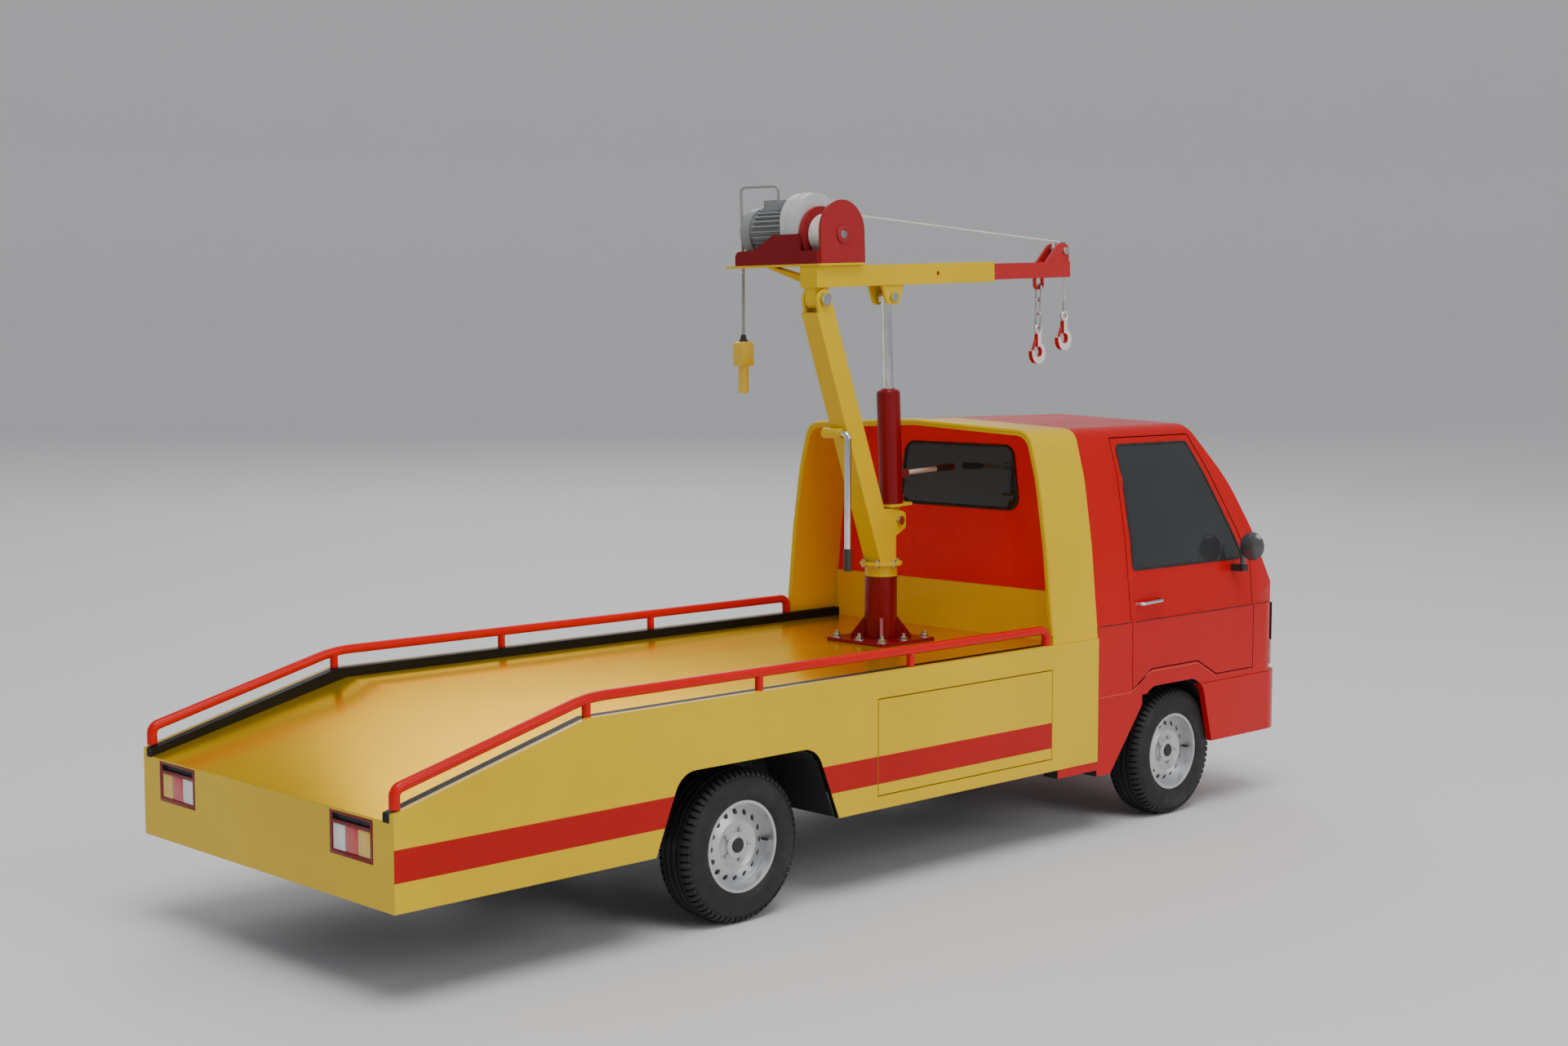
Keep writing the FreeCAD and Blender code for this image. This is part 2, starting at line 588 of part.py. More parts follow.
def cab():
    """Shell, doors and glass, all taken from one hollow body."""
    outer = cab_block("cab_outer", 0.0)
    inner = cab_block("cab_inner", s.cab_skin)
    hollow = cut("cab_hollow", outer, inner)
    holes, glasses = [], []
    holes += [fender("cab_fender"), member_gap("cab_notch", (s.wall_x - 1, s.wall_x + 3))]
    for side, sign in (("left", 1), ("right", -1)):
        opening = side_prism(side + "_opening", door_outline(s.gap), sign)
        holes.append(opening)
        leaf = side_prism(side + "_leaf", door_outline(0.0), sign)
        pane = side_prism(side + "_pane", WINDOW, sign, [(1.6, (0, 1, 2, 3))])
        skin = cut(side + "_door_skin", common(side + "_door_part", hollow, leaf), pane)
        handle = tube(side + "_handle", 0.55, [(95.0, 53.6 * sign, 68.1), (95.6, 56.4 * sign, 68.3),
                                               (105.4, 56.4 * sign, 68.7), (106.0, 53.6 * sign, 68.7)],
                      (1.0, 1.0))
        spans = (53.2, 58.2) if sign > 0 else (-58.2, -53.2)
        foot = box(side + "_mirror_foot", (145.4, 148.4), spans, (74.6, 76.6))
        node(side + "_door", fuse(side + "_door_solid", skin, handle, foot))
        glass_tool = side_prism(side + "_glass_tool", WINDOW, sign, [(1.6, (0, 1, 2, 3))])
        node(side + "_door_glass", common(side + "_glass", hollow, glass_tool))
    screen = [(-47.0, 79.0), (-40.5, 116.8), (40.5, 116.8), (47.0, 79.0)]
    rear = [(-24.6, 96.3), (-21.9, 115.6), (21.9, 115.6), (24.6, 96.3)]
    for kind, corners, x, thick in (("screen", screen, 147, 60), ("rear_pane", rear, s.wall_x, 10)):
        rounds = [(3.5, (0, 1, 2, 3))]
        holes.append(plate(kind + "_hole", "YZ", corners, thick, rounds, at=(x, 0, 0)))
        tool = plate(kind + "_tool", "YZ", corners, thick, rounds, at=(x, 0, 0))
        glasses.append(common(kind + "_glass", hollow, tool))
    node("cab_glass", group("fixed_glass", *glasses))
    half = s.cab_half - s.cab_skin - 0.2
    deck = box("cab_floor", (s.wall_x + 1, 162), (-half, half), (s.floor_level, s.floor_level + 1.6))
    lips = [box("sill_lip", (56.3, s.wall_x + 2), spans, (20.0, s.sill_level))
            for spans in ((50.0, s.cab_half), (-s.cab_half, -50.0))]
    node("cab_shell", fuse("cab_whole", cut("cab_cut", hollow, *holes), deck, *lips))
    return outer


def hoop():
    """The yellow hoop behind the cab, with the low yellow wall inside it."""
    outer = section(0.0, s.edge_level, s.cab_half)
    inner = section(s.skin, s.edge_level, s.cab_half)
    length = s.wall_x - s.hoop_rear
    middle = s.hoop_rear + length / 2
    rounds = [(s.roof_round, (3, 5)), (60.0, (1, 2, 6, 7))]
    block = plate("hoop_block", "YZ", outer, length, rounds, at=(middle, 0, 0))
    void = plate("hoop_void", "YZ", inner, length + 2, rounds, at=(middle, 0, 0))
    half = s.body_width / 2 - s.skin - s.channel_width - 0.1
    low = box("wall_low", (s.wall_x - 0.8, s.wall_x), (-half, half), (s.deck_level, s.edge_level))
    slab = box("wall_slab", (s.wall_x - 0.8, s.wall_x), (-s.cab_half, s.cab_half),
               (s.edge_level, s.wall_yellow_top))
    high = common("wall_high", slab, block)
    return node("hoop", fuse("hoop_solid", cut("hoop_shell", block, void), low, high))


def front_end(cab_outer):
    """Bumper, grille band and lamps."""
    half = s.body_width / 2
    front = s.total_length / 2
    rear = s.bumper_rear
    skin = s.bumper_skin
    block = plate("bumper_block", "XY", [(rear, -half), (front, -half), (front, half), (rear, half)],
                  s.plinth_level - s.bumper_low, [(s.nose_round + 2, (1, 2))],
                  at=(0, 0, (s.plinth_level + s.bumper_low) / 2))
    void = plate("bumper_void", "XY",
                 [(rear - 1, skin - half), (front - skin, skin - half), (front - skin, half - skin),
                  (rear - 1, half - skin)], s.plinth_level - s.bumper_low,
                 [(s.nose_round, (1, 2))],
                 at=(0, 0, (s.plinth_level + s.bumper_low) / 2 - 1.5))
    wheel = rod("wheel_room", s.tyre_radius + 0.8, (s.front_axle_x, -half + skin, s.tyre_radius),
                s.body_width - skin * 2, "Y")
    legs = [box("leg_gap", (147.7, 156.3), spans, (s.plinth_level - 3, s.plinth_level + 1))
            for spans in ((17.7, 24.3), (-24.3, -17.7))]
    node("front_bumper", cut("bumper_cut", block, void, wheel, fender("bumper_fender"), *legs))
    proud = cut("nose_layer", cab_block("cab_proud", -s.trim), cab_outer)
    band = box("grille_band", (168.4, 180), (-60, 60), (50.3, 62.4))
    lamp_holes = [box("lamp_hole", (160, 180), spans, (51.6, 61.1)) for spans in ((27, 46), (-46, -27))]
    slots = [box("grille_slot", (s.nose_x + 0.3, 180), (-25, 25), (52.2 + 2.1 * row, 53.2 + 2.1 * row))
             for row in range(5)]
    node("grille", cut("grille_cut", common("grille_band_part", proud, band), *lamp_holes, *slots))
    blocks = []
    for low, high in ((-46, -27), (27, 46)):
        blocks.append(box("head_lamp", (160, 180), (low, high), (51.6, 61.1)))
    for spans in ((38, 60), (-60, -38)):
        blocks.append(box("corner_lamp", (167, 180), spans, (45.9, 50.0)))
        blocks.append(box("low_lamp", (167, 180), spans, (42.5, 45.6)))
    lamps = [common("lamp_part", proud, block) for block in blocks]
    node("front_lamps", group("lamp_set", *lamps))


def mirror(label, sign):
    """A folding mirror head on a short stem."""
    head = doc.addObject("Part::Ellipsoid", label + "_head")
    head.Radius1, head.Radius2, head.Radius3 = 4.9, 3.4, 4.9
    head.Angle1, head.Angle2, head.Angle3 = -90, 90, 360
    place(head, (147.2, 61.2 * sign, 82.9))
    back = box(label + "_back", (140, 145.9), (50, 70) if sign > 0 else (-70, -50), (70, 95))
    shell = cut(label + "_shell", head, back)
    stem = rod(label + "_stem", 0.9, (146.9, 57.2 * sign, 76.7), 6.4)
    arm = box(label + "_arm", (146.2, 147.8), (57, 60) if sign > 0 else (-60, -57), (80.2, 83.2))
    return node(label, fuse(label + "_solid", shell, stem, arm))


def interior():
    """Seats, dashboard and steering wheel."""
    floor = s.floor_level + 1.6
    seats = []
    for middle in (24, -24):
        cushion = box("cushion", (92, 121), (middle - 15, middle + 15), (floor, floor + 12))
        rest = plate("rest", "XZ", [(86, floor + 12), (80.5, 96), (86.5, 97.5), (94, floor + 12)], 30.0,
                     [(2.0, (1, 2))], at=(0, middle, 0))
        seats.append(fuse("seat", cushion, rest, box("seat_root", (86, 92), (middle - 15, middle + 15),
                                                      (floor, floor + 12))))
    node("seats", group("seat_pair", *seats))
    board = [(150, 60), (146, 68), (149, 75), (161, 73), (161, 60)]
    node("dashboard", plate("dashboard_block", "XZ", board, 100.0, [(2.0, (1, 2))]))
    ring = doc.addObject("Part::Torus", "wheel_ring")
    ring.Radius1, ring.Radius2 = 8.0, 0.75
    spokes = [box("cross_spoke", (-8, 8), (-0.7, 0.7), (-0.5, 0.5)),
              box("low_spoke", (-0.7, 0.7), (-8, 0), (-0.5, 0.5))]
    hub = rod("wheel_hub", 1.6, (0, 0, -0.8), 1.6)
    shaft = rod("wheel_shaft", 0.8, (0, 0, -14.2), 14.2)
    whole = fuse("steering_solid", ring, *spokes, hub, shaft)
    node("steering_wheel", place(whole, (133.8, 24, 79.0), (0, 1, 0), -60))


# ---------------------------------------------------------------- crane foot and column

def bolt_places():
    """The eight bolts of the base plate, on a square."""
    steps = (-1, 0, 1)
    return [(s.crane_x + s.bolt_pitch * i, s.bolt_pitch * j) for i in steps for j in steps if i or j]


def crane_foot():
    """Base plate, its bolts, and the pedestal with four diagonal gussets."""
    top = s.deck_level + s.plate_thick
    half = s.plate_half
    slab = plate("base_slab", "XY", [(-half, -half), (half, -half), (half, half), (-half, half)],
                 s.plate_thick, [(1.2, (0, 1, 2, 3))], at=(s.crane_x, 0, s.deck_level + s.plate_thick / 2))
    holes = [rod("plate_hole", s.bolt_radius, (x, y, s.deck_level - 1), 4) for x, y in bolt_places()]
    node("crane_base_plate", cut("base_plate_cut", slab, *holes))
    bolts = []
    for x, y in bolt_places():
        shank = rod("bolt_shank", s.bolt_radius, (x, y, s.deck_level - s.deck_skin),
                    s.plate_thick + s.deck_skin + 2.0)
        bolts.append(fuse("bolt", shank, hexagon("bolt_nut", s.nut_radius, (x, y, top), s.nut_height)))
    node("base_bolts", group("bolt_set", *bolts))
    post = rod("pedestal_tube", s.pedestal_radius, (s.crane_x, 0, top), s.pedestal_top - top)
    web = [(s.pedestal_radius - 0.6, 0.0), (s.gusset_foot, 0.0), (s.gusset_foot, 0.9),
           (s.pedestal_radius + 0.2, s.gusset_top - top), (s.pedestal_radius - 0.6, s.gusset_top - top)]
    webs = [plate("gusset", "XZ", web, s.gusset_thick, at=(s.crane_x, 0, top), angle=45 + 90 * quarter)
            for quarter in range(4)]
    bore = rod("pedestal_bore", s.spindle_radius + 0.05, (s.crane_x, 0, top + 2), s.pedestal_top)
    node("pedestal", cut("pedestal_cut", fuse("pedestal_solid", post, *webs), bore))


def column_x(level):
    """Where the leaning column's centre line is at a level."""
    lean = math.tan(math.radians(float(s.column_lean)))
    return s.crane_x - (level - s.flange_high) * lean


def slanted(name, low, high, half_x, half_y):
    """A length of the leaning column between two levels."""
    corners = [(column_x(low) - half_x, low), (column_x(high) - half_x, high),
               (column_x(high) + half_x, high), (column_x(low) + half_x, low)]
    return plate(name, "XZ", corners, half_y * 2)


def column():
    """Spindle, collar, flange, leaning box tube, fork, jack bracket and handle socket."""
    wall = s.column_wall
    spindle = rod("spindle", s.spindle_radius, (s.crane_x, 0, 61.5), s.flange_high - 61.5)
    collar = rod("collar", s.pedestal_radius, (s.crane_x, 0, s.pedestal_top + 0.15),
                 s.flange_low - s.pedestal_top)
    flange = rod("flange", s.flange_radius, (s.crane_x, 0, s.flange_low), s.flange_high - s.flange_low)
    post = slanted("post", s.flange_high, s.column_top, s.column_half_x, s.column_half_y)
    core = slanted("post_core", s.flange_high + 1, s.column_top + 9, s.column_half_x - wall,
                   s.column_half_y - wall)
    slot = s.column_half_y - wall
    ear = [(column_x(150) - s.column_half_x, 150), (s.pivot_x - 3.0, s.pivot_z), (s.pivot_x + 3.0, s.pivot_z),
           (column_x(150) + s.column_half_x, 150)]
    ears = []
    for sign in (1, -1):
        ears.append(plate("ear", "XZ", ear, wall, at=(0, (slot + wall / 2) * sign, 0)))
        start = slot if sign > 0 else -s.column_half_y
        ears.append(rod("ear_top", 3.0, (s.pivot_x, start, s.pivot_z), wall, "Y"))
    web = plate("web", "XZ", [(column_x(81.3), 81.3), (42.6, 81.3), (42.6, 89.0), (46.9, 91.2), (46.9, 96.0),
                              (40.9, 97.3), (column_x(97.3), 97.3)], 6.5, [(1.6, (3, 4))])
    throat = box("web_throat", (39.6, 60), (-1.75, 1.75), (84.0, 110))
    socket = rod("socket", s.socket_radius, (s.socket_x, -2.1, s.socket_z), 7.3, "Y")
    tie = box("socket_tie", (s.socket_x, s.socket_x + 2.6), (-1.5, 1.5), (s.socket_z - 1.2, s.socket_z + 1.2))
    pins = [rod("pivot_bore", s.pivot_radius + 0.05, (s.pivot_x, -6, s.pivot_z), 12, "Y"),
            rod("foot_bore", s.pin_radius, (s.jack_foot_x, -6, s.jack_foot_z), 12, "Y"),
            rod("socket_bore", s.handle_radius + 0.05, (s.socket_x, -6, s.socket_z), 14, "Y")]
    flange_bolts = []
    for step in range(6):
        turn = math.radians(60 * step + 30)
        x, y = s.crane_x + 5.35 * math.cos(turn), 5.35 * math.sin(turn)
        flange_bolts.append(hexagon("flange_bolt", 0.75, (x, y, s.flange_low - 0.7), 2.4))
    solid = fuse("column_solid", spindle, collar, flange, post, *ears, web, socket, tie, *flange_bolts)
    node("crane_column", cut("column_cut", solid, core, throat, *pins))
    pivot = fuse("pivot_pin", rod("pivot_shank", s.pivot_radius, (s.pivot_x, -3.9, s.pivot_z), 7.8, "Y"),
                 hexagon("pivot_head", 2.0, (s.pivot_x, -4.5, s.pivot_z), 1.2, "Y"),
                 hexagon("pivot_nut", 2.0, (s.pivot_x, 3.3, s.pivot_z), 1.2, "Y"))
    foot = fuse("foot_pin", rod("foot_shank", s.pin_radius, (s.jack_foot_x, -3.6, s.jack_foot_z), 7.2, "Y"),
                hexagon("foot_head", 1.5, (s.jack_foot_x, -4.15, s.jack_foot_z), 0.9, "Y"),
                hexagon("foot_nut", 1.5, (s.jack_foot_x, 3.25, s.jack_foot_z), 0.9, "Y"))
    node("crane_pins", group("column_pins", pivot, foot))
    arm = tube("handle_rod", s.handle_radius,
               [(s.socket_x, 4.6, s.socket_z), (s.socket_x, s.handle_y, s.socket_z),
                (s.socket_x, s.handle_y, s.handle_foot + 1)], (1.6,))
    grip = rod("handle_grip", s.handle_radius + 0.22, (s.socket_x, s.handle_y, s.handle_foot),
               s.grip_top - s.handle_foot)
    node("slew_handle", fuse("handle_solid", arm, grip))


def jack():
    """Hydraulic hand jack: barrel with foot lug, ram with eye, and pump lever."""
    barrel = rod("barrel", s.jack_radius, (0, 0, s.jack_low), s.jack_high - s.jack_low)
    lug = box("foot_lug", (-1.9, 1.9), (-1.6, 1.6), (0, s.jack_low))
    knuckle = rod("foot_knuckle", 1.9, (0, -1.6, 0), 3.2, "Y")
    base = plate("jack_base", "XY", [(-3.7, -3.7), (6.0, -3.7), (6.0, 3.7), (-3.7, 3.7)], 0.8,
                 [(1.0, (0, 1, 2, 3))], at=(0, 0, 4.6))
    valve = rod("release_valve", 0.7, (2.0, 0, 6.8), 3.4, "X")
    ears = [box("lever_ear", (3.0, s.lever_x + 1.1), spans, (s.lever_z - 1.3, s.lever_z + 1.3))
            for spans in ((1.15, 1.95), (-1.95, -1.15))]
    pin = rod("lever_pin", 0.5, (s.lever_x, -1.95, s.lever_z), 3.9, "Y")
    bores = [rod("ram_bore", s.ram_radius + 0.05, (0, 0, 8.5), 40),
             rod("knuckle_bore", s.pin_radius + 0.05, (0, -3, 0), 6, "Y")]
    solid = cut("barrel_cut", fuse("barrel_solid", barrel, lug, knuckle, base, valve, *ears), *bores)
    node("jack_cylinder", on_jack(fuse("barrel_done", solid, pin)))
    eye_z = s.jack_length
    ram = rod("ram", s.ram_radius, (0, 0, 20), eye_z - 20)
    eye = rod("ram_eye", 1.9, (0, -1.9, eye_z), 3.8, "Y")
    hole = rod("ram_eye_bore", s.pin_radius + 0.2, (0, -3, eye_z), 6, "Y")
    node("jack_ram", on_jack(cut("ram_cut", fuse("ram_solid", ram, eye), hole)))
    knob = rod("lever_eye", 1.1, (s.lever_x, -1.05, s.lever_z), 2.1, "Y")
    shaft = rod("lever_rod", s.lever_radius, (s.lever_x, 0, s.lever_z), s.lever_length, "X")
    bore = rod("lever_bore", 0.55, (s.lever_x, -3, s.lever_z), 6, "Y")
    node("pump_lever", on_jack(cut("lever_cut", fuse("lever_solid", knob, shaft), bore)))


# ---------------------------------------------------------------- boom

def round_top(name, half, low, centre, start, thick, x):
    """A plate in the boom's XZ plane whose top is a half circle."""
    slab = box(name + "_slab", (x - half, x + half), (start, start + thick), (low, centre))
    return fuse(name, slab, rod(name + "_top", half, (x, start, centre), thick, "Y"))


def boom():
    """Outer boom with pivot lug and jack ears, and the inner boom that slides in it."""
    wall = s.boom_wall
    outer = box("boom_outer_bar", (s.boom_rear, s.boom_front), (-s.boom_half, s.boom_half),
                (s.boom_low, s.boom_high))
    void = box("boom_outer_void", (s.boom_rear + 0.8, s.boom_front + 1),
               (wall - s.boom_half, s.boom_half - wall), (s.boom_low + wall, s.boom_high - wall))
    lock = rod("lock_hole", 0.7, (49.5, -6, (s.boom_low + s.boom_high) / 2), 5, "Y")
    tube_part = cut("boom_outer_tube", outer, void, lock)
    lug = fuse("pivot_lug", box("lug_block", (-2.8, 2.8), (-2.1, 2.1), (0, s.boom_low)),
               rod("lug_round", 2.8, (0, -2.1, 0), 4.2, "Y"))
    pin_x = 29.46
    ear = [(pin_x - 4.6, s.boom_low), (pin_x - 2.6, -2.3), (pin_x + 2.6, -2.3), (pin_x + 4.6, s.boom_low)]
    ears = [plate("jack_ear", "XZ", ear, 0.8, [(1.8, (1, 2))], at=(0, 2.7 * sign, 0)) for sign in (1, -1)]
    bores = [rod("lug_bore", s.pivot_radius + 0.05, (0, -4, 0), 8, "Y"),
             rod("jack_pin_bore", s.pin_radius, (pin_x, -5, -0.12), 10, "Y")]
    solid = fuse("boom_outer_solid", tube_part, lug, *ears)
    node("boom_outer", on_boom(cut("boom_outer_cut", solid, *bores)))
    pin = fuse("jack_pin_solid", rod("jack_pin_shank", s.pin_radius, (pin_x, -3.5, -0.12), 7, "Y"),
               hexagon("jack_pin_head", 1.5, (pin_x, -4.0, -0.12), 0.9, "Y"),
               hexagon("jack_pin_nut", 1.5, (pin_x, 3.1, -0.12), 0.9, "Y"))
    node("jack_pin", on_boom(pin))
    inset = wall + s.slide_gap
    bar = box("inner_bar", (s.inner_rear, s.inner_front), (inset - s.boom_half, s.boom_half - inset),
              (s.boom_low + inset, s.boom_high - inset))
    core = box("inner_core", (s.inner_rear - 1, s.inner_front - 0.8),
               (inset - s.boom_half + 0.6, s.boom_half - inset - 0.6),
               (s.boom_low + inset + 0.6, s.boom_high - inset - 0.6))
    top = s.boom_high - inset
    cheek = [(103.0, top), (109.6, 15.0), (s.inner_front, 15.0), (s.inner_front, top)]
    cheeks = [plate("cheek", "XZ", cheek, 0.8, [(2.2, (1, 2))], at=(0, 2.0 * sign, 0)) for sign in (1, -1)]
    staple = tube("staple", s.staple_radius,
                  [(s.staple_x - s.staple_half, 0, s.boom_low + inset),
                    (s.staple_x - s.staple_half, 0, s.staple_z),
                   (s.staple_x + s.staple_half, 0, s.staple_z),
                    (s.staple_x + s.staple_half, 0, s.boom_low + inset)],
                  (1.0, 1.0))
    bore = rod("sheave_pin_bore", s.pin_radius, (s.sheave_x, -5, s.sheave_z), 10, "Y")
    solid = fuse("inner_solid", cut("inner_tube", bar, core), *cheeks, staple)
    node("boom_inner", on_boom(cut("inner_cut", solid, bore)))
    shank = rod("sheave_pin_shank", s.pin_radius, (s.sheave_x, -2.9, s.sheave_z), 5.8, "Y")
    heads = [hexagon("sheave_pin_head", 1.3, (s.sheave_x, start, s.sheave_z), 0.7, "Y")
             for start in (-3.1, 2.4)]
    node("sheave_pin", on_boom(fuse("sheave_pin_solid", shank, *heads)))
    bore = s.pin_radius + 0.05
    wheel = turned("sheave_wheel", [(bore, -1.3), (s.sheave_rim, -1.3), (s.sheave_rim, -1.0),
                                    (s.sheave_groove, -0.45), (s.sheave_groove, 0.45), (s.sheave_rim, 1.0),
                                    (s.sheave_rim, 1.3), (bore, 1.3)])
    place(wheel, (s.sheave_x, 0, s.sheave_z), (1, 0, 0), -90)
    node("sheave", on_boom(group("sheave_placed", wheel)))


def ropes():
    """The taut rope from the drum over the sheave, and its fall to the hook."""
    drum_turn = float(s.rope_pack + s.rope_radius + 0.01)
    sheave_turn = float(s.sheave_groove + s.rope_radius + 0.05)
    run = FreeCAD.Vector(float(s.sheave_x - s.drum_x), 0, float(s.sheave_z - s.drum_z))
    lean = math.atan2(run.z, run.x) + math.asin((sheave_turn - drum_turn) / run.Length)
    up = FreeCAD.Vector(-math.sin(lean), 0, math.cos(lean))
    drum = FreeCAD.Vector(float(s.drum_x), 0, float(s.drum_z))
    sheave = FreeCAD.Vector(float(s.sheave_x), 0, float(s.sheave_z))
    start, top = drum + up * drum_turn, sheave + up * sheave_turn
    plumb = math.radians(float(s.boom_pitch))
    front = sheave + FreeCAD.Vector(math.cos(plumb), 0, math.sin(plumb)) * sheave_turn
    between = (up + (front - sheave).normalize()).normalize()
    middle = sheave + between * sheave_turn
    path = Part.Wire([Part.LineSegment(start, top).toShape(), Part.Arc(top, middle, front).toShape()])
    ring = Part.Wire(Part.Circle(start, top - start, float(s.rope_radius)).toShape())
    span = doc.addObject("Part::Feature", "rope_span_tube")
    span.Shape = path.makePipeShell([ring], True, False)
    node("rope_span", on_boom(span))
    place_of = FreeCAD.Placement(FreeCAD.Vector(float(s.pivot_x), 0, float(s.pivot_z)),
                                 FreeCAD.Rotation(FreeCAD.Vector(0, 1, 0), float(s.boom_pitch)))
    leave = place_of.multVec(front)
    end = float(s.rope_eye + s.eye_radius + s.eye_wire)
    node("rope_fall", rod("rope_fall_tube", s.rope_radius, (leave.x, 0, end), leave.z - 0.02 - end))
    return leave.x


# ---------------------------------------------------------------- winch

def winch():
    """Platform, maroon tray and cheek, drum with its wound rope, gearbox and motor."""
    top = s.boom_high
    floor = top + s.platform_thick
    bed_top = floor + s.tray_thick
    rear, front = -3.2, 15.8
    slab = box("platform_slab", (rear, front), (-4.9, s.platform_y), (top, floor))
    strut = plate("platform_strut", "YZ", [(s.boom_half, 4.2), (s.boom_half, 6.4), (17.4, s.boom_high),
                                           (20.8, s.boom_high)], 3.0, at=(1.5, 0, 0))
    hole = rod("cable_hole", s.cable_radius + 0.2, (s.cable_x, s.cable_y, top - 1), 4)
    rooms = [rod(name, s.drum_rim - 0.35, (s.drum_x, 3.45, s.drum_z), 1.6, "Y")
             for name in ("platform_room", "frame_room")]
    node("winch_platform", on_boom(cut("platform_cut", fuse("platform_solid", slab, strut), hole, rooms[0])))
    tray = box("tray_base", (rear, front), (-4.0, 30.8), (floor, bed_top))
    wall_line = [(-4.0, bed_top), (-4.0, 14.3), (3.2, 14.3), (3.2, 19.1), (14.4, 19.1), (22.4, 14.9),
                 (30.8, 14.6), (30.8, bed_top)]
    wall = plate("tray_wall", "YZ", wall_line, 0.8, [(1.5, (4,)), (4.0, (5,)), (2.0, (6,))],
                 at=(rear + 0.4, 0, 0))
    cheek = round_top("winch_cheek", s.cheek_half, floor, s.drum_z + 0.85, -4.9, 0.9, s.drum_x)
    bore = rod("drum_bore", 1.25, (s.drum_x, -8, s.drum_z), 6, "Y")
    node("winch_frame", on_boom(cut("frame_cut", fuse("frame_solid", tray, wall, cheek), bore, rooms[1])))
    drum = fuse("drum_solid", rod("drum_core", s.drum_core, (s.drum_x, -3.8, s.drum_z), 8.0, "Y"),
                rod("drum_near", 7.4, (s.drum_x, -3.8, s.drum_z), 0.6, "Y"),
                rod("drum_far", s.drum_rim - 0.6, (s.drum_x, 3.7, s.drum_z), 1.1, "Y"),
                rod("drum_shaft", 1.2, (s.drum_x, -5.4, s.drum_z), 12.4, "Y"))
    node("winch_drum", on_boom(drum))
    pack = cut("rope_pack_ring", rod("rope_pack_out", s.rope_pack, (s.drum_x, -3.15, s.drum_z), 6.8, "Y"),
               rod("rope_pack_in", s.drum_core, (s.drum_x, -4, s.drum_z), 9, "Y"))
    node("wound_rope", on_boom(pack))
    case = round_top("gearbox_case", 8.7, bed_top, 22.4, 5.4, 7.0, s.drum_x)
    seam = round_top("gearbox_seam", 9.0, bed_top, 22.4, 8.5, 0.8, s.drum_x)
    socket = rod("gearbox_bore", 1.25, (s.drum_x, 5, s.drum_z), 3, "Y")
    node("winch_gearbox", on_boom(cut("gearbox_cut", fuse("gearbox_solid", case, seam), socket)))
    body = doc.addObject("PartDesign::Body", "fin_ring")
    sketch = sketch_on(body, "XZ", "fin_outline")
    reach = s.motor_core + s.fin_height
    draw(sketch, [(s.motor_core - 0.5, -0.25), (reach, -0.25), (reach, 0.25), (s.motor_core - 0.5, 0.25)])
    fin = body.newObject("PartDesign::Pad", "fin_pad")
    fin.Profile = sketch
    fin.Length = 13.0
    fin.Midplane = True
    doc.recompute()
    core_sketch = sketch_on(body, "XZ", "core_outline")
    circle = Part.Circle(FreeCAD.Vector(), FreeCAD.Vector(0, 0, 1), float(s.motor_core))
    core_sketch.addGeometry(circle, False)
    core = body.newObject("PartDesign::Pad", "core_pad")
    core.Profile = core_sketch
    core.Length = 15.0
    core.Midplane = True
    doc.recompute()
    ring = body.newObject("PartDesign::PolarPattern", "fin_pattern")
    ring.Originals = [fin]
    ring.Axis = (sketch, ["N_Axis"])
    ring.Angle = 360
    ring.Occurrences = int(s.fin_count)
    body.Tip = ring
    place(body, (s.drum_x, 19.95, s.motor_z))
    cover = rod("fan_cover", reach, (s.drum_x, 27.4, s.motor_z), 3.8, "Y")
    bell = rod("motor_bell", reach, (s.drum_x, 12.4, s.motor_z), 1.0, "Y")
    case = box("terminal_box", (s.drum_x - 3.5, s.drum_x + 3.5), (18.7, 24.4), (25.6, 29.6))
    feet = box("motor_feet", (s.drum_x - 5, s.drum_x + 5), (15, 25), (bed_top, 15.2))
    node("winch_motor", on_boom(fuse("motor_solid", body, cover, bell, case, feet)))
    route = [(s.drum_x, 21.5, 29.6), (s.drum_x, 21.5, 33.9), (s.cable_x, s.cable_y, 33.9),
             (s.cable_x, s.cable_y, 8.6)]
    node("pendant_cable", on_boom(tube("cable_arch", s.cable_radius, route, (1.6, 1.6))))


# ---------------------------------------------------------------- what hangs

def link(name, x, level, turn):
    """One oval chain link, standing upright, turned about the vertical."""
    reach = float(s.link_length) / 2 - float(s.link_wire)
    bend = float(s.link_width) / 2 - float(s.link_wire)
    straight = reach - bend
    line = [FreeCAD.Vector(x, 0, z) for x, z in ((bend, -straight), (bend, straight), (0, reach),
                                                 (-bend, straight), (-bend, -straight), (0, -reach))]
    path = Part.Wire([Part.LineSegment(line[0], line[1]).toShape(),
                      Part.Arc(line[1], line[2], line[3]).toShape(),
                      Part.LineSegment(line[3], line[4]).toShape(),
                      Part.Arc(line[4], line[5], line[0]).toShape()])
    ring = Part.Wire(Part.Circle(line[0], FreeCAD.Vector(0, 0, 1), float(s.link_wire)).toShape())
    made = doc.addObject("Part::Feature", name)
    made.Shape = path.makePipeShell([ring], True, False)
    return place(made, (x, 0, level), angle=turn)


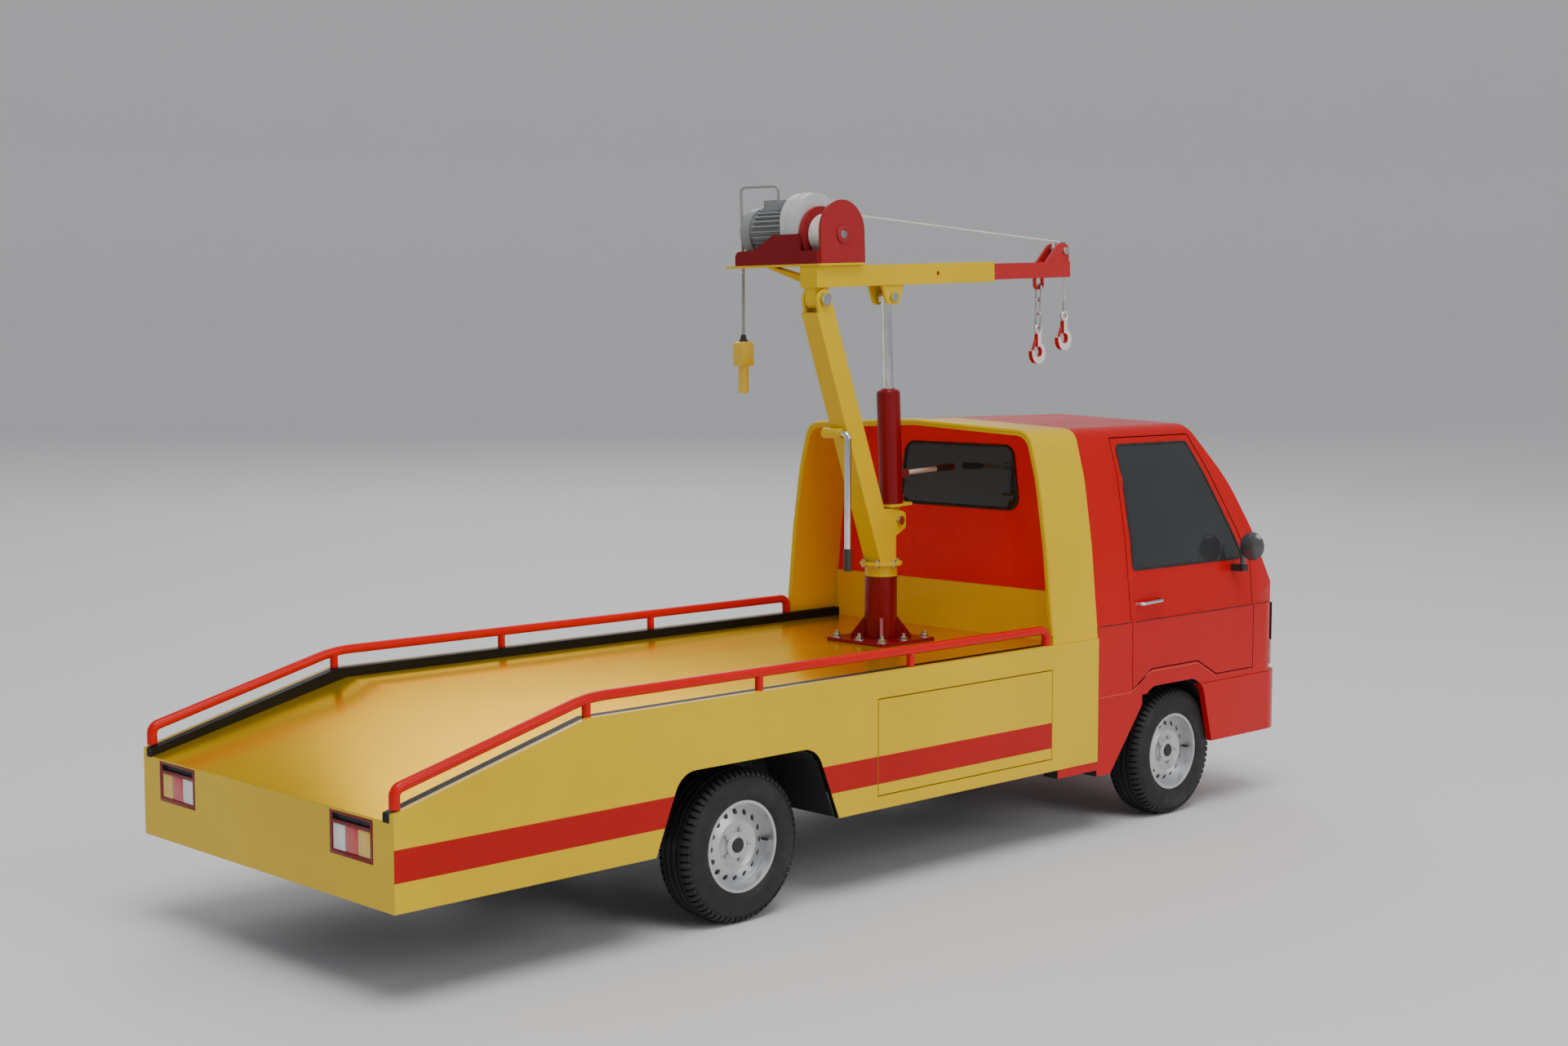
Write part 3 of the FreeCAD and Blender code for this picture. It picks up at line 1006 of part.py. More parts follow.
def hook(name):
    """A plate hook with its eye's centre as origin, open towards its own +X."""
    half = s.hook_half
    thick = half * 2
    eye = doc.addObject("Part::Torus", name + "_eye")
    bind(eye, "Radius1", s.eye_radius)
    bind(eye, "Radius2", s.eye_wire)
    place(eye, axis=(1, 0, 0), angle=90)
    shank = box(name + "_shank", (-0.9, 0.9), (-half, half), (-5.2, -1.5))
    disc = rod(name + "_disc", 3.45, (0.3, -half, -7.65), thick, "Y")
    bowl = rod(name + "_bowl", 1.75, (0.55, -half - 1, -7.2), thick + 2, "Y")
    mouth = box(name + "_mouth", (0.9, 5.0), (-half - 1, half + 1), (-6.9, -3.0))
    return fuse(name, eye, shank, cut(name + "_crook", disc, bowl, mouth))


def latch(name):
    """The sprung tongue that closes a hook's mouth."""
    tongue = plate(name + "_tongue", "XZ", [(1.1, -3.95), (1.8, -3.8), (3.0, -6.6), (2.35, -6.72)], 0.7)
    return fuse(name, tongue, rod(name + "_knuckle", 0.42, (1.45, -0.35, -3.9), 0.7, "Y"))


def hanging(rope_x):
    """Chain, the two hooks with their latches, and the pendant control."""
    wire = s.link_wire
    step = float(s.link_length) - 4 * float(wire) - 0.06
    first = float(s.staple_level + s.staple_radius + wire + 0.05) - (float(s.link_length) / 2 - float(wire))
    count = int(s.link_count)
    links = [link("link", s.chain_x, first - step * index, 90 - 90 * (index % 2)) for index in range(count)]
    node("chain_links", group("chain", *links))
    for kind, x, level in (("chain", s.chain_x, s.chain_eye), ("rope", rope_x, s.rope_eye)):
        node(kind + "_hook", place(hook(kind + "_hook_solid"), (x, 0, level), angle=180))
        node(kind + "_hook_latch", place(latch(kind + "_latch_solid"), (x, 0, level), angle=180))
    x, y, top = s.pendant_x, s.cable_y, s.pendant_top
    node("pendant_drop_cable", rod("drop_cable", s.cable_radius, (x, y, top), 168.3 - top))
    head = plate("pendant_head", "XZ", [(-2.5, -7.4), (-2.5, 0), (2.5, 0), (2.5, -7.4)], 4.0,
                 [(1.5, (1, 2))], at=(x, y, top))
    handle = rod("pendant_handle", 1.6, (x, y, top - 15.5), 8.2)
    pocket = box("pendant_pocket", (x + 1.5, x + 3), (y - 1.2, y + 1.2), (top - 6.2, top - 1.2))
    node("pendant", cut("pendant_cut", fuse("pendant_solid", head, handle), pocket))
    node("pendant_rocker", box("rocker", (x + 2.0, x + 3.0), (y - 1.0, y + 1.0), (top - 5.9, top - 1.5)))


def build():
    """Make every sub-part."""
    chassis()
    for end, axle_x in (("front", s.front_axle_x), ("rear", s.rear_axle_x)):
        axle(end + "_axle", axle_x)
        wheel_pair(end + "_rims", rim, axle_x)
        wheel_pair(end + "_tyres", tyre, axle_x)
    bed()
    channels()
    node("side_rails", group("rail_pair", *both_sides(rail, "rail")))
    for side, sign in (("left", 1), ("right", -1)):
        locker_door(side + "_locker_door", sign)
        mirror(side + "_mirror", sign)
    tail_lamps()
    cab_outer = cab()
    hoop()
    front_end(cab_outer)
    interior()
    crane_foot()
    column()
    jack()
    boom()
    rope_x = ropes()
    winch()
    hanging(rope_x)


def check_and_write():
    """Refuse a broken document, then write one STEP file for each sub-part."""
    doc.recompute()
    broken = [obj.Label for obj in doc.Objects if {"Invalid", "Error"} & set(obj.State)]
    broken += [obj.Label for obj in NODES if obj.Shape.isNull() or not obj.Shape.isValid()]
    if broken:
        raise SystemExit("broken: " + ", ".join(broken))
    os.makedirs("parts", exist_ok=True)
    for obj in NODES:
        obj.Shape.exportStep("parts/%s.step" % obj.Label)
        print("%-20s %2d solids %9.1f mm3" % (obj.Label, len(obj.Shape.Solids), obj.Shape.Volume))


build()
check_and_write()
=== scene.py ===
"""Looks of a toy tow truck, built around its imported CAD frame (Blender 4.5, metres).

Axes: +X forward, +Y to the truck's left, +Z up. Sizes that belong to one sub-assembly are
fields of its class, in metres.
"""
from __future__ import annotations

import json
import logging
import math
from dataclasses import dataclass
from enum import Enum
from typing import Callable, Sequence

import bmesh
import bpy
from mathutils import Matrix, Vector
from mathutils.bvhtree import BVHTree


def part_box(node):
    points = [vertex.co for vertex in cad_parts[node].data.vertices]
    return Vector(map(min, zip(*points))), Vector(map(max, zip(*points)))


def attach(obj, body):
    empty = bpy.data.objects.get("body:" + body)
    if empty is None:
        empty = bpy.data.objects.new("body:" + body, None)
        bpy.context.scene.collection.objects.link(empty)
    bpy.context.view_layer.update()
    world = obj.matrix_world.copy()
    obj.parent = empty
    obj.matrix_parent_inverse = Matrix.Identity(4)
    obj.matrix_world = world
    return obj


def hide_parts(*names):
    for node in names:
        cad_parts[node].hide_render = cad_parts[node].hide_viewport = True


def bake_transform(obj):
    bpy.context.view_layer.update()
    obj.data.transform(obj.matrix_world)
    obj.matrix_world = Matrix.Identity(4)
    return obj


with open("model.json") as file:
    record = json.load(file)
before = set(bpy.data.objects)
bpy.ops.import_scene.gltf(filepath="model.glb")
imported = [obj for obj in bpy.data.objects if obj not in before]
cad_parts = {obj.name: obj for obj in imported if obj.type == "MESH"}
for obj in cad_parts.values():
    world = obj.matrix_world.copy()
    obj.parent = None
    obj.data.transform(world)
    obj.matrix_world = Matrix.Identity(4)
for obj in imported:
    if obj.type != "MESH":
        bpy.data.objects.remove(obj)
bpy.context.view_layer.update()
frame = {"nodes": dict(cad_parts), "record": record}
LOG = logging.getLogger("tow_truck")
MM = 0.001
Colour = tuple[float, float, float]
JOINTS = {joint["name"]: joint for joint in frame["record"]["behaviour"]["joints"]}
BODY_OF = {node: body for body, nodes in frame["record"]["behaviour"]["bodies"].items() for node in nodes}


def joint_at(name: str) -> Vector:
    """Where a hinge's axis passes, in metres."""
    return Vector(JOINTS[name]["pos_m"])


def boom_frame() -> Matrix:
    """The boom's own axes: origin at the luffing pivot, +X along the boom.

    Returns:
        A matrix from the boom's axes to the truck's.
    """
    along = Vector(JOINTS["boom_extension"]["axis"]).normalized()
    up = along.cross(Vector((0, 1, 0))).normalized()
    turn = Matrix((along, Vector((0, 1, 0)), up)).transposed().to_4x4()
    return Matrix.Translation(joint_at("boom_luff")) @ turn


def jack_frame() -> Matrix:
    """The jack's own axes: origin at its foot pin, +Z along the ram.

    Returns:
        A matrix from the jack's axes to the truck's.
    """
    up = Vector(JOINTS["ram_slide"]["axis"]).normalized()
    along = Vector((0, 1, 0)).cross(up).normalized()
    turn = Matrix((along, Vector((0, 1, 0)), up)).transposed().to_4x4()
    return Matrix.Translation(joint_at("jack_tilt")) @ turn


BOOM = boom_frame()
JACK = jack_frame()


class Side(Enum):
    """The truck's two sides, with the sign of Y on each."""

    LEFT = 1
    RIGHT = -1

    @property
    def label(self) -> str:
        """The side's word in node and body names."""
        return self.name.lower()


# ---------------------------------------------------------------- finishes

class Graph:
    """A small helper that builds one material's node graph."""

    def __init__(self, name: str) -> None:
        """Start a material with one Principled shader.

        Args:
            name: the material's name.
        """
        self.material = bpy.data.materials.new(name)
        self.material.use_nodes = True
        self.nodes = self.material.node_tree.nodes
        self.links = self.material.node_tree.links
        self.shader = self.nodes["Principled BSDF"]
        self.place = self.nodes.new("ShaderNodeTexCoord").outputs["Object"]
        self.round_edges = 0.3

    def put(self, **values: object) -> None:
        """Set the shader's own sockets, named with underscores for blanks."""
        for key, value in values.items():
            socket = self.shader.inputs[key.replace("_", " ")]
            socket.default_value = (*value, 1.0) if isinstance(value, tuple) else value

    def join(self, output: bpy.types.NodeSocket, key: str) -> None:
        """Link an output into one of the shader's sockets."""
        self.links.new(output, self.shader.inputs[key])

    def noise(self, scale: float, detail: float = 3.0, stretch: Colour = (1, 1, 1)) -> bpy.types.NodeSocket:
        """Fractal noise on object coordinates.

        Args:
            scale: features for each metre.
            detail: octaves.
            stretch: how much each axis is squeezed.

        Returns:
            The noise's value output.
        """
        mapping = self.nodes.new("ShaderNodeMapping")
        mapping.inputs["Scale"].default_value = stretch
        self.links.new(self.place, mapping.inputs["Vector"])
        node = self.nodes.new("ShaderNodeTexNoise")
        node.inputs["Scale"].default_value = scale
        node.inputs["Detail"].default_value = detail
        self.links.new(mapping.outputs["Vector"], node.inputs["Vector"])
        return node.outputs["Fac"]

    def wave(self, scale: float, axis: str, distortion: float = 0.0) -> bpy.types.NodeSocket:
        """Parallel bands across an axis, for ribs and weave.

        Args:
            scale: bands for each metre.
            axis: the axis that the bands cross.
            distortion: how much the bands wander.

        Returns:
            The wave's value output.
        """
        node = self.nodes.new("ShaderNodeTexWave")
        node.bands_direction = axis
        node.inputs["Scale"].default_value = scale
        node.inputs["Distortion"].default_value = distortion
        self.links.new(self.place, node.inputs["Vector"])
        return node.outputs["Fac"]

    def level(self, value: bpy.types.NodeSocket, low: float, high: float, start: float = 0.0,
              end: float = 1.0) -> bpy.types.NodeSocket:
        """Stretch a value from one range onto another, clamped.

        Args:
            value: the output to stretch.
            low: the first range's low end.
            high: the first range's high end.
            start: the second range's low end.
            end: the second range's high end.

        Returns:
            The stretched value.
        """
        node = self.nodes.new("ShaderNodeMapRange")
        for socket, number in zip(node.inputs[1:5], (low, high, start, end)):
            socket.default_value = number
        self.links.new(value, node.inputs["Value"])
        return node.outputs["Result"]

    def times(self, one: bpy.types.NodeSocket, other: bpy.types.NodeSocket) -> bpy.types.NodeSocket:
        """The product of two values.

        Args:
            one: the first value.
            other: the second value.

        Returns:
            Their product.
        """
        node = self.nodes.new("ShaderNodeMath")
        node.operation = "MULTIPLY"
        self.links.new(one, node.inputs[0])
        self.links.new(other, node.inputs[1])
        return node.outputs[0]

    def blend(self, share: bpy.types.NodeSocket, first: Colour, second: Colour) -> bpy.types.NodeSocket:
        """A colour between two, by a share.

        Args:
            share: how much of the second colour shows.
            first: the colour at nought.
            second: the colour at one.

        Returns:
            The blended colour.
        """
        node = self.nodes.new("ShaderNodeMix")
        node.data_type = "RGBA"
        node.inputs[6].default_value = (*first, 1.0)
        node.inputs[7].default_value = (*second, 1.0)
        self.links.new(share, node.inputs[0])
        return node.outputs[2]

    def soft_normal(self, radius: float) -> bpy.types.NodeSocket:
        """The surface normal with edges rounded off by a radius in millimetres.

        Args:
            radius: the rounding's radius.

        Returns:
            The rounded normal.
        """
        node = self.nodes.new("ShaderNodeBevel")
        node.samples = 4
        node.inputs["Radius"].default_value = radius * MM
        return node.outputs["Normal"]

    def edges(self, radius: float = 0.35) -> bpy.types.NodeSocket:
        """One on edges and nought on flats, broken up by noise.

        Args:
            radius: how wide the worn band is, in millimetres.

        Returns:
            A value from nought to one.
        """
        node = self.nodes.new("ShaderNodeVectorMath")
        node.operation = "DOT_PRODUCT"
        self.links.new(self.soft_normal(radius), node.inputs[0])
        self.links.new(self.nodes.new("ShaderNodeNewGeometry").outputs["Normal"], node.inputs[1])
        worn = self.level(node.outputs["Value"], 0.985, 0.86)
        return self.times(worn, self.level(self.noise(700.0, 4.0), 0.48, 0.62))

    def bump(self, height: bpy.types.NodeSocket, strength: float, distance: float) -> None:
        """Drive the shader's normal from a height.

        Args:
            height: the value that lifts the surface.
            strength: how much of the effect shows.
            distance: the depth of a full step, in metres.
        """
        node = self.nodes.new("ShaderNodeBump")
        node.inputs["Strength"].default_value = strength
        node.inputs["Distance"].default_value = distance
        self.links.new(height, node.inputs["Height"])
        if self.round_edges:
            self.links.new(self.soft_normal(self.round_edges), node.inputs["Normal"])
        self.join(node.outputs["Normal"], "Normal")


def shade(colour: Colour, factor: float) -> Colour:
    """A colour made lighter or darker."""
    return tuple(min(1.0, part * factor) for part in colour)


class Finish:
    """What every finish offers: a material made once and then shared."""

    made: dict[str, bpy.types.Material] = {}
    name: str

    def material(self) -> bpy.types.Material:
        """The finish's material, built on first use.

        Returns:
            The shared material.
        """
        if self.name not in Finish.made:
            Finish.made[self.name] = self.build(Graph(self.name))
        return Finish.made[self.name]

    def build(self, graph: Graph) -> bpy.types.Material:
        """Fill in a graph and return its material."""
        raise NotImplementedError


@dataclass(frozen=True)
class Enamel(Finish):
    """Sprayed gloss enamel with a fine orange peel, faint clouding and rubbed edges."""

    name: str
    colour: Colour
    roughness: float = 0.3
    coat: float = 0.12
    worn: float = 0.3
    metallic: float = 0.0
    specular: float = 0.25
    smear: float = 0.07
    tint: float = 0.4

    def build(self, graph: Graph) -> bpy.types.Material:
        """Cloud the colour, lighten rubbed edges and roughen what is handled.

        Args:
            graph: an empty graph with its shader.

        Returns:
            The finished material.
        """
        cloud = graph.level(graph.noise(22.0, 4.0), 0.3, 0.7)
        node = graph.nodes.new("ShaderNodeMix")
        node.data_type = "RGBA"
        paint = graph.blend(cloud, shade(self.colour, 0.93), shade(self.colour, 1.05))
        graph.links.new(paint, node.inputs[6])
        node.inputs[7].default_value = (*tuple(part * 0.7 + 0.12 for part in self.colour), 1.0)
        rubbed = graph.level(graph.edges(), 0.0, 1.0, 0.0, self.worn)
        graph.links.new(rubbed, node.inputs[0])
        graph.join(node.outputs[2], "Base Color")
        handled = graph.noise(60.0, 5.0, (1.0, 2.0, 1.0))
        least = self.roughness - 0.3 * self.smear
        graph.join(graph.level(handled, 0.3, 0.75, least, self.roughness + self.smear), "Roughness")
        graph.put(Coat_Weight=self.coat, Coat_Roughness=0.08, Metallic=self.metallic,
                  Specular_IOR_Level=self.specular)
        brightest = max(self.colour)
        graph.put(Specular_Tint=tuple(1 - self.tint * (1 - part / brightest) for part in self.colour))
        graph.bump(graph.noise(1400.0, 2.0), 0.05, 0.00008)
        return graph.material


@dataclass(frozen=True)
class Steel(Finish):
    """Bare or plated metal with drawing lines along one axis."""

    name: str
    colour: Colour
    roughness: float = 0.25
    stretch: Colour = (1.0, 1.0, 0.08)
    grain: float = 0.06

    def build(self, graph: Graph) -> bpy.types.Material:
        """Streak the colour and roughness along the metal's grain.

        Args:
            graph: an empty graph with its shader.

        Returns:
            The finished material.
        """
        streak = graph.noise(1600.0, 4.0, self.stretch)
        stain = graph.level(graph.noise(130.0, 4.0), 0.35, 0.75)
        graph.join(graph.blend(stain, self.colour, shade(self.colour, 0.78)), "Base Color")
        graph.join(graph.level(streak, 0.2, 0.8, max(0.03, self.roughness - 0.08), self.roughness + 0.1),
                   "Roughness")
        graph.put(Metallic=1.0)
        graph.bump(streak, self.grain, 0.00004)
        return graph.material


@dataclass(frozen=True)
class Rubber(Finish):
    """Moulded black rubber, dusty in patches."""

    name: str
    colour: Colour = (0.016, 0.016, 0.017)
    roughness: float = 0.62

    def build(self, graph: Graph) -> bpy.types.Material:
        """Mix in a little grey dust and a fine mould texture.

        Args:
            graph: an empty graph with its shader.

        Returns:
            The finished material.
        """
        dust = graph.level(graph.noise(70.0, 6.0), 0.5, 0.8, 0.0, 0.5)
        graph.join(graph.blend(dust, self.colour, tuple(part + 0.03 for part in self.colour)), "Base Color")
        matt = graph.level(graph.noise(300.0, 3.0), 0.3, 0.7, self.roughness - 0.1, self.roughness + 0.12)
        graph.join(matt, "Roughness")
        graph.put(Specular_IOR_Level=0.4)
        graph.bump(graph.noise(2600.0, 2.0), 0.16, 0.00008)
        return graph.material


@dataclass(frozen=True)
class Plastic(Finish):
    """Moulded plastic with a fine spark-eroded grain."""

    name: str
    colour: Colour
    roughness: float = 0.4
    grain: float = 0.12
    coat: float = 0.0
    mottle: float = 0.08

    def build(self, graph: Graph) -> bpy.types.Material:
        """Grain the surface and vary its tone slightly.

        Args:
            graph: an empty graph with its shader.

        Returns:
            The finished material.
        """
        tone = graph.level(graph.noise(45.0, 3.0), 0.3, 0.7)
        dark, light = shade(self.colour, 1 - self.mottle), shade(self.colour, 1 + self.mottle)
        graph.join(graph.blend(tone, dark, light), "Base Color")
        matt = graph.level(graph.noise(800.0, 2.0), 0.3, 0.7, self.roughness - 0.06, self.roughness + 0.08)
        graph.join(matt, "Roughness")
        graph.put(Coat_Weight=self.coat, Coat_Roughness=0.1)
        graph.bump(graph.noise(3200.0, 2.0), self.grain, 0.00005)
        return graph.material


@dataclass(frozen=True)
class Glass(Finish):
    """Dark tinted glazing."""

    name: str
    colour: Colour = (0.05, 0.053, 0.056)
    clear: float = 0.45

    def build(self, graph: Graph) -> bpy.types.Material:
        """Tint, let some light through, and leave a patchy film of dust.

        Args:
            graph: an empty graph with its shader.

        Returns:
            The finished material.
        """
        film = graph.level(graph.noise(26.0, 5.0), 0.45, 0.85, 0.0, 1.0)
        graph.join(graph.blend(film, self.colour, shade(self.colour, 1.5)), "Base Color")
        graph.join(graph.level(film, 0.0, 1.0, 0.04, 0.12), "Roughness")
        graph.put(Transmission_Weight=self.clear, IOR=1.45, Specular_IOR_Level=0.6)
        return graph.material


@dataclass(frozen=True)
class Lens(Finish):
    """Ribbed lamp lens."""

    name: str
    colour: Colour
    ribs: float = 520.0

    def build(self, graph: Graph) -> bpy.types.Material:
        """Give the lens prismatic ribs and a soft glow of its own colour.

        Args:
            graph: an empty graph with its shader.

        Returns:
            The finished material.
        """
        rib = graph.wave(self.ribs, "Y")
        graph.join(graph.blend(rib, shade(self.colour, 0.8), shade(self.colour, 1.15)), "Base Color")
        graph.put(Roughness=0.12, Coat_Weight=0.8, Subsurface_Weight=0.15, Subsurface_Scale=0.001)
        graph.bump(rib, 0.35, 0.0002)
        return graph.material


@dataclass(frozen=True)
class Fibre(Finish):
    """Pale laid rope, slightly grubby."""

    name: str
    colour: Colour

    def build(self, graph: Graph) -> bpy.types.Material:
        """Show the yarns as fine noise and grey the rope in places.

        Args:
            graph: an empty graph with its shader.

        Returns:
            The finished material.
        """
        grime = graph.level(graph.noise(260.0, 5.0), 0.45, 0.8)
        graph.join(graph.blend(grime, self.colour, shade(self.colour, 0.72)), "Base Color")
        graph.put(Roughness=0.75, Sheen_Weight=0.3)
        graph.round_edges = 0.0
        graph.bump(graph.noise(5200.0, 3.0), 0.3, 0.00006)
        return graph.material


@dataclass(frozen=True)
class Cloth(Finish):
    """Woven seat cover."""

    name: str
    colour: Colour

    def build(self, graph: Graph) -> bpy.types.Material:
        """Cross two sets of threads.

        Args:
            graph: an empty graph with its shader.

        Returns:
            The finished material.
        """
        weave = graph.times(graph.wave(700.0, "Y"), graph.wave(700.0, "X"))
        graph.join(graph.blend(weave, shade(self.colour, 0.7), shade(self.colour, 1.6)), "Base Color")
        graph.put(Roughness=0.88, Sheen_Weight=0.4)
        graph.bump(weave, 0.5, 0.0002)
        return graph.material


YELLOW = Enamel("yellow_enamel", (0.76, 0.50, 0.004))
DECK_YELLOW = Enamel("deck_enamel", (0.92, 0.60, 0.006), roughness=0.2, coat=0.0, worn=0.1, metallic=0.8,
                     smear=0.015, tint=0.92)
# A brighter copy of the yellow for the hoop's inner faces: painted light that lifts faces the hoop shades.
LIT_HOOP_YELLOW = Enamel("hoop_inside_painted_light", (0.94, 0.54, 0.006), roughness=0.24, worn=0.1, smear=0.03)
RED = Enamel("red_enamel", (0.56, 0.002, 0.002))
# A brighter copy of the cab's red for its back wall inside the hoop: painted light on the wall.
LIT_WALL_RED = Enamel("wall_red_painted_light", (0.92, 0.003, 0.001), roughness=0.26, smear=0.03)
STRIPE_RED = Enamel("stripe_red", (0.47, 0.002, 0.002), worn=0.1)
# A lighter red for the bead over the cab's skirt step: a painted highlight on the step's edge.
STEP_HIGHLIGHT_RED = Enamel("step_highlight_red", (0.74, 0.10, 0.08), worn=0.0)
RAIL_RED = Enamel("rail_enamel", (0.66, 0.004, 0.003), roughness=0.24)
INNER_RED = Enamel("inner_boom_red", (0.50, 0.026, 0.028), roughness=0.34)
MAROON = Enamel("maroon_enamel", (0.21, 0.004, 0.008), roughness=0.32)
DUSTY_RED = Enamel("dusty_red_enamel", (0.36, 0.020, 0.024), roughness=0.4)
BLACK = Enamel("black_enamel", (0.008, 0.008, 0.008), roughness=0.45, coat=0.0, worn=0.2, specular=0.15,
               tint=0.0)
HOOK_WHITE = Enamel("white_enamel", (0.80, 0.79, 0.77), worn=0.15, tint=0.0)
LEVER_GREY = Enamel("lever_enamel", (0.62, 0.58, 0.53), worn=0.15, specular=0.5, tint=0.0)
SILVER = Enamel("silver_enamel", (0.55, 0.56, 0.57), coat=0.3, worn=0.2, metallic=0.6, specular=0.5, tint=0.0)
GREY_CASE = Enamel("grey_enamel", (0.60, 0.61, 0.62), roughness=0.34, tint=0.0)
MOTOR_GREY = Enamel("motor_enamel", (0.27, 0.28, 0.285), roughness=0.42, tint=0.0)
CHROME = Steel("chrome_plate", (0.82, 0.83, 0.85), roughness=0.09, grain=0.01)
ZINC = Steel("zinc_plate", (0.62, 0.62, 0.60), roughness=0.28)
STEEL = Steel("drawn_steel", (0.46, 0.46, 0.47), roughness=0.3)
TYRE = Rubber("tyre_rubber")
SEAL = Rubber("seal_rubber", (0.012, 0.012, 0.013), 0.5)
CABLE = Rubber("cable_sheath", (0.30, 0.30, 0.31), 0.4)
GRIP = Plastic("grip_plastic", (0.045, 0.034, 0.032), roughness=0.45, grain=0.3)
BLACK_PLASTIC = Plastic("black_plastic", (0.018, 0.018, 0.019), roughness=0.5, grain=0.25)
RED_PLASTIC = Plastic("red_plastic", (0.5, 0.02, 0.02), roughness=0.35)
MIRROR_GREY = Plastic("mirror_housing", (0.075, 0.077, 0.08), roughness=0.16, grain=0.04, coat=0.5)
PENDANT_YELLOW = Plastic("pendant_plastic", (0.78, 0.50, 0.015), roughness=0.32, grain=0.06, coat=0.3)
GLASS = Glass("tinted_glass")
MIRROR_GLASS = Steel("mirror_glass", (0.86, 0.87, 0.88), roughness=0.05, grain=0.0)
SEAT = Cloth("seat_cloth", (0.04, 0.04, 0.045))
FLOOR = Plastic("studio_paper", (0.80, 0.80, 0.80), roughness=0.6, grain=0.0, mottle=0.0)
LENS_WHITE = Lens("lens_white", (0.82, 0.84, 0.86))
LENS_RED = Lens("lens_red", (0.65, 0.008, 0.008))
LENS_AMBER = Lens("lens_amber", (0.85, 0.55, 0.02))
ROPE = Fibre("rope_fibre", (0.80, 0.77, 0.70))
LAMP_CLEAR = Lens("lamp_clear", (0.78, 0.80, 0.82), ribs=420.0)


# ---------------------------------------------------------------- meshes

def new_object(name: str, mesh: bpy.types.Mesh) -> bpy.types.Object:
    """Link a mesh into the scene as an object at the origin.

    Args:
        name: the object's name.
        mesh: its mesh, already in place.

    Returns:
        The linked object.
    """
    made = bpy.data.objects.new(name, mesh)
    bpy.context.scene.collection.objects.link(made)
    return made


def smooth(mesh: bpy.types.Mesh, angle: float = 32.0) -> None:
    """Shade smooth, with edges over an angle left sharp.

    Args:
        mesh: the mesh to shade.
        angle: the least angle, in degrees, that stays sharp.
    """
    for face in mesh.polygons:
        face.use_smooth = True
    mesh.set_sharp_from_angle(angle=math.radians(angle))


def settled(obj: bpy.types.Object) -> bpy.types.Object:
    """Apply an object's modifiers and give back a plain mesh object of the same name.

    Args:
        obj: the object with live modifiers.

    Returns:
        The same object, with its result as its mesh and no modifier left.
    """
    bpy.context.view_layer.update()
    evaluated = obj.evaluated_get(bpy.context.evaluated_depsgraph_get())
    mesh = bpy.data.meshes.new_from_object(evaluated)
    name, collection = obj.name, obj.users_collection[0]
    collection.objects.unlink(obj)
    bpy.data.objects.remove(obj)
    mesh.name = name
    return new_object(name, mesh)


def finished(obj: bpy.types.Object, body: str, replaces: Sequence[str] = ()) -> bpy.types.Object:
    """Hand a piece to the frame: its body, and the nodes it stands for.

    Args:
        obj: the piece.
        body: the body it rides on.
        replaces: the nodes it stands for.

    Returns:
        The same piece.
    """
    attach(obj, body)
    if replaces:
        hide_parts(*replaces)
    LOG.info("%s: %d faces on %s", obj.name, len(obj.data.polygons), body)
    return obj


@dataclass(frozen=True)
class Region:
    """Part of a piece that has a finish of its own."""

    finish: Finish
    holds: Callable[[Vector, Vector], bool]


def refine(node: str, finish: Finish, bevel: float = 0.0, regions: Sequence[Region] = (),
           levels: Sequence[float] = (), angle: float = 32.0) -> bpy.types.Object:
    """Stand a merged copy with softened edges in for a CAD node.

    Args:
        node: the CAD node.
        finish: the finish of everything outside the regions.
        bevel: the edges' radius in millimetres.
        regions: parts with finishes of their own, by face centre and normal.
        levels: heights in millimetres where a paint line cuts the faces.
        angle: the least angle, in degrees, that counts as an edge.

    Returns:
        The finished piece.
    """
    mesh = bpy.data.meshes.new(node + "_finish")
    form = bmesh.new()
    form.from_mesh(frame["nodes"][node].data)
    bmesh.ops.remove_doubles(form, verts=form.verts, dist=2e-6)
    if bevel:
        bmesh.ops.dissolve_limit(form, angle_limit=math.radians(0.6), verts=form.verts, edges=form.edges)
    for level in levels:
        bmesh.ops.bisect_plane(form, geom=form.verts[:] + form.edges[:] + form.faces[:], dist=1e-7,
                               plane_co=(0, 0, level * MM), plane_no=(0, 0, 1))
    for face in form.faces:
        face.material_index = 0
        centre, normal = face.calc_center_median(), face.normal
        for index, region in enumerate(regions, 1):
            if region.holds(centre, normal):
                face.material_index = index
    form.to_mesh(mesh)
    form.free()
    for name in ("custom_normal", "sharp_face"):
        if name in mesh.attributes:
            mesh.attributes.remove(mesh.attributes[name])
    for item in (finish, *[region.finish for region in regions]):
        mesh.materials.append(item.material())
    piece = new_object(node + "_finish", mesh)
    if bevel:
        rounding = piece.modifiers.new("edges", "BEVEL")
        rounding.width = bevel * MM
        rounding.segments = 2
        rounding.limit_method = "ANGLE"
        rounding.angle_limit = math.radians(angle)
        rounding.use_clamp_overlap = True
        rounding.miter_outer = "MITER_ARC"
        piece = settled(piece)
    smooth(piece.data, angle)
    return finished(piece, BODY_OF[node], [node])


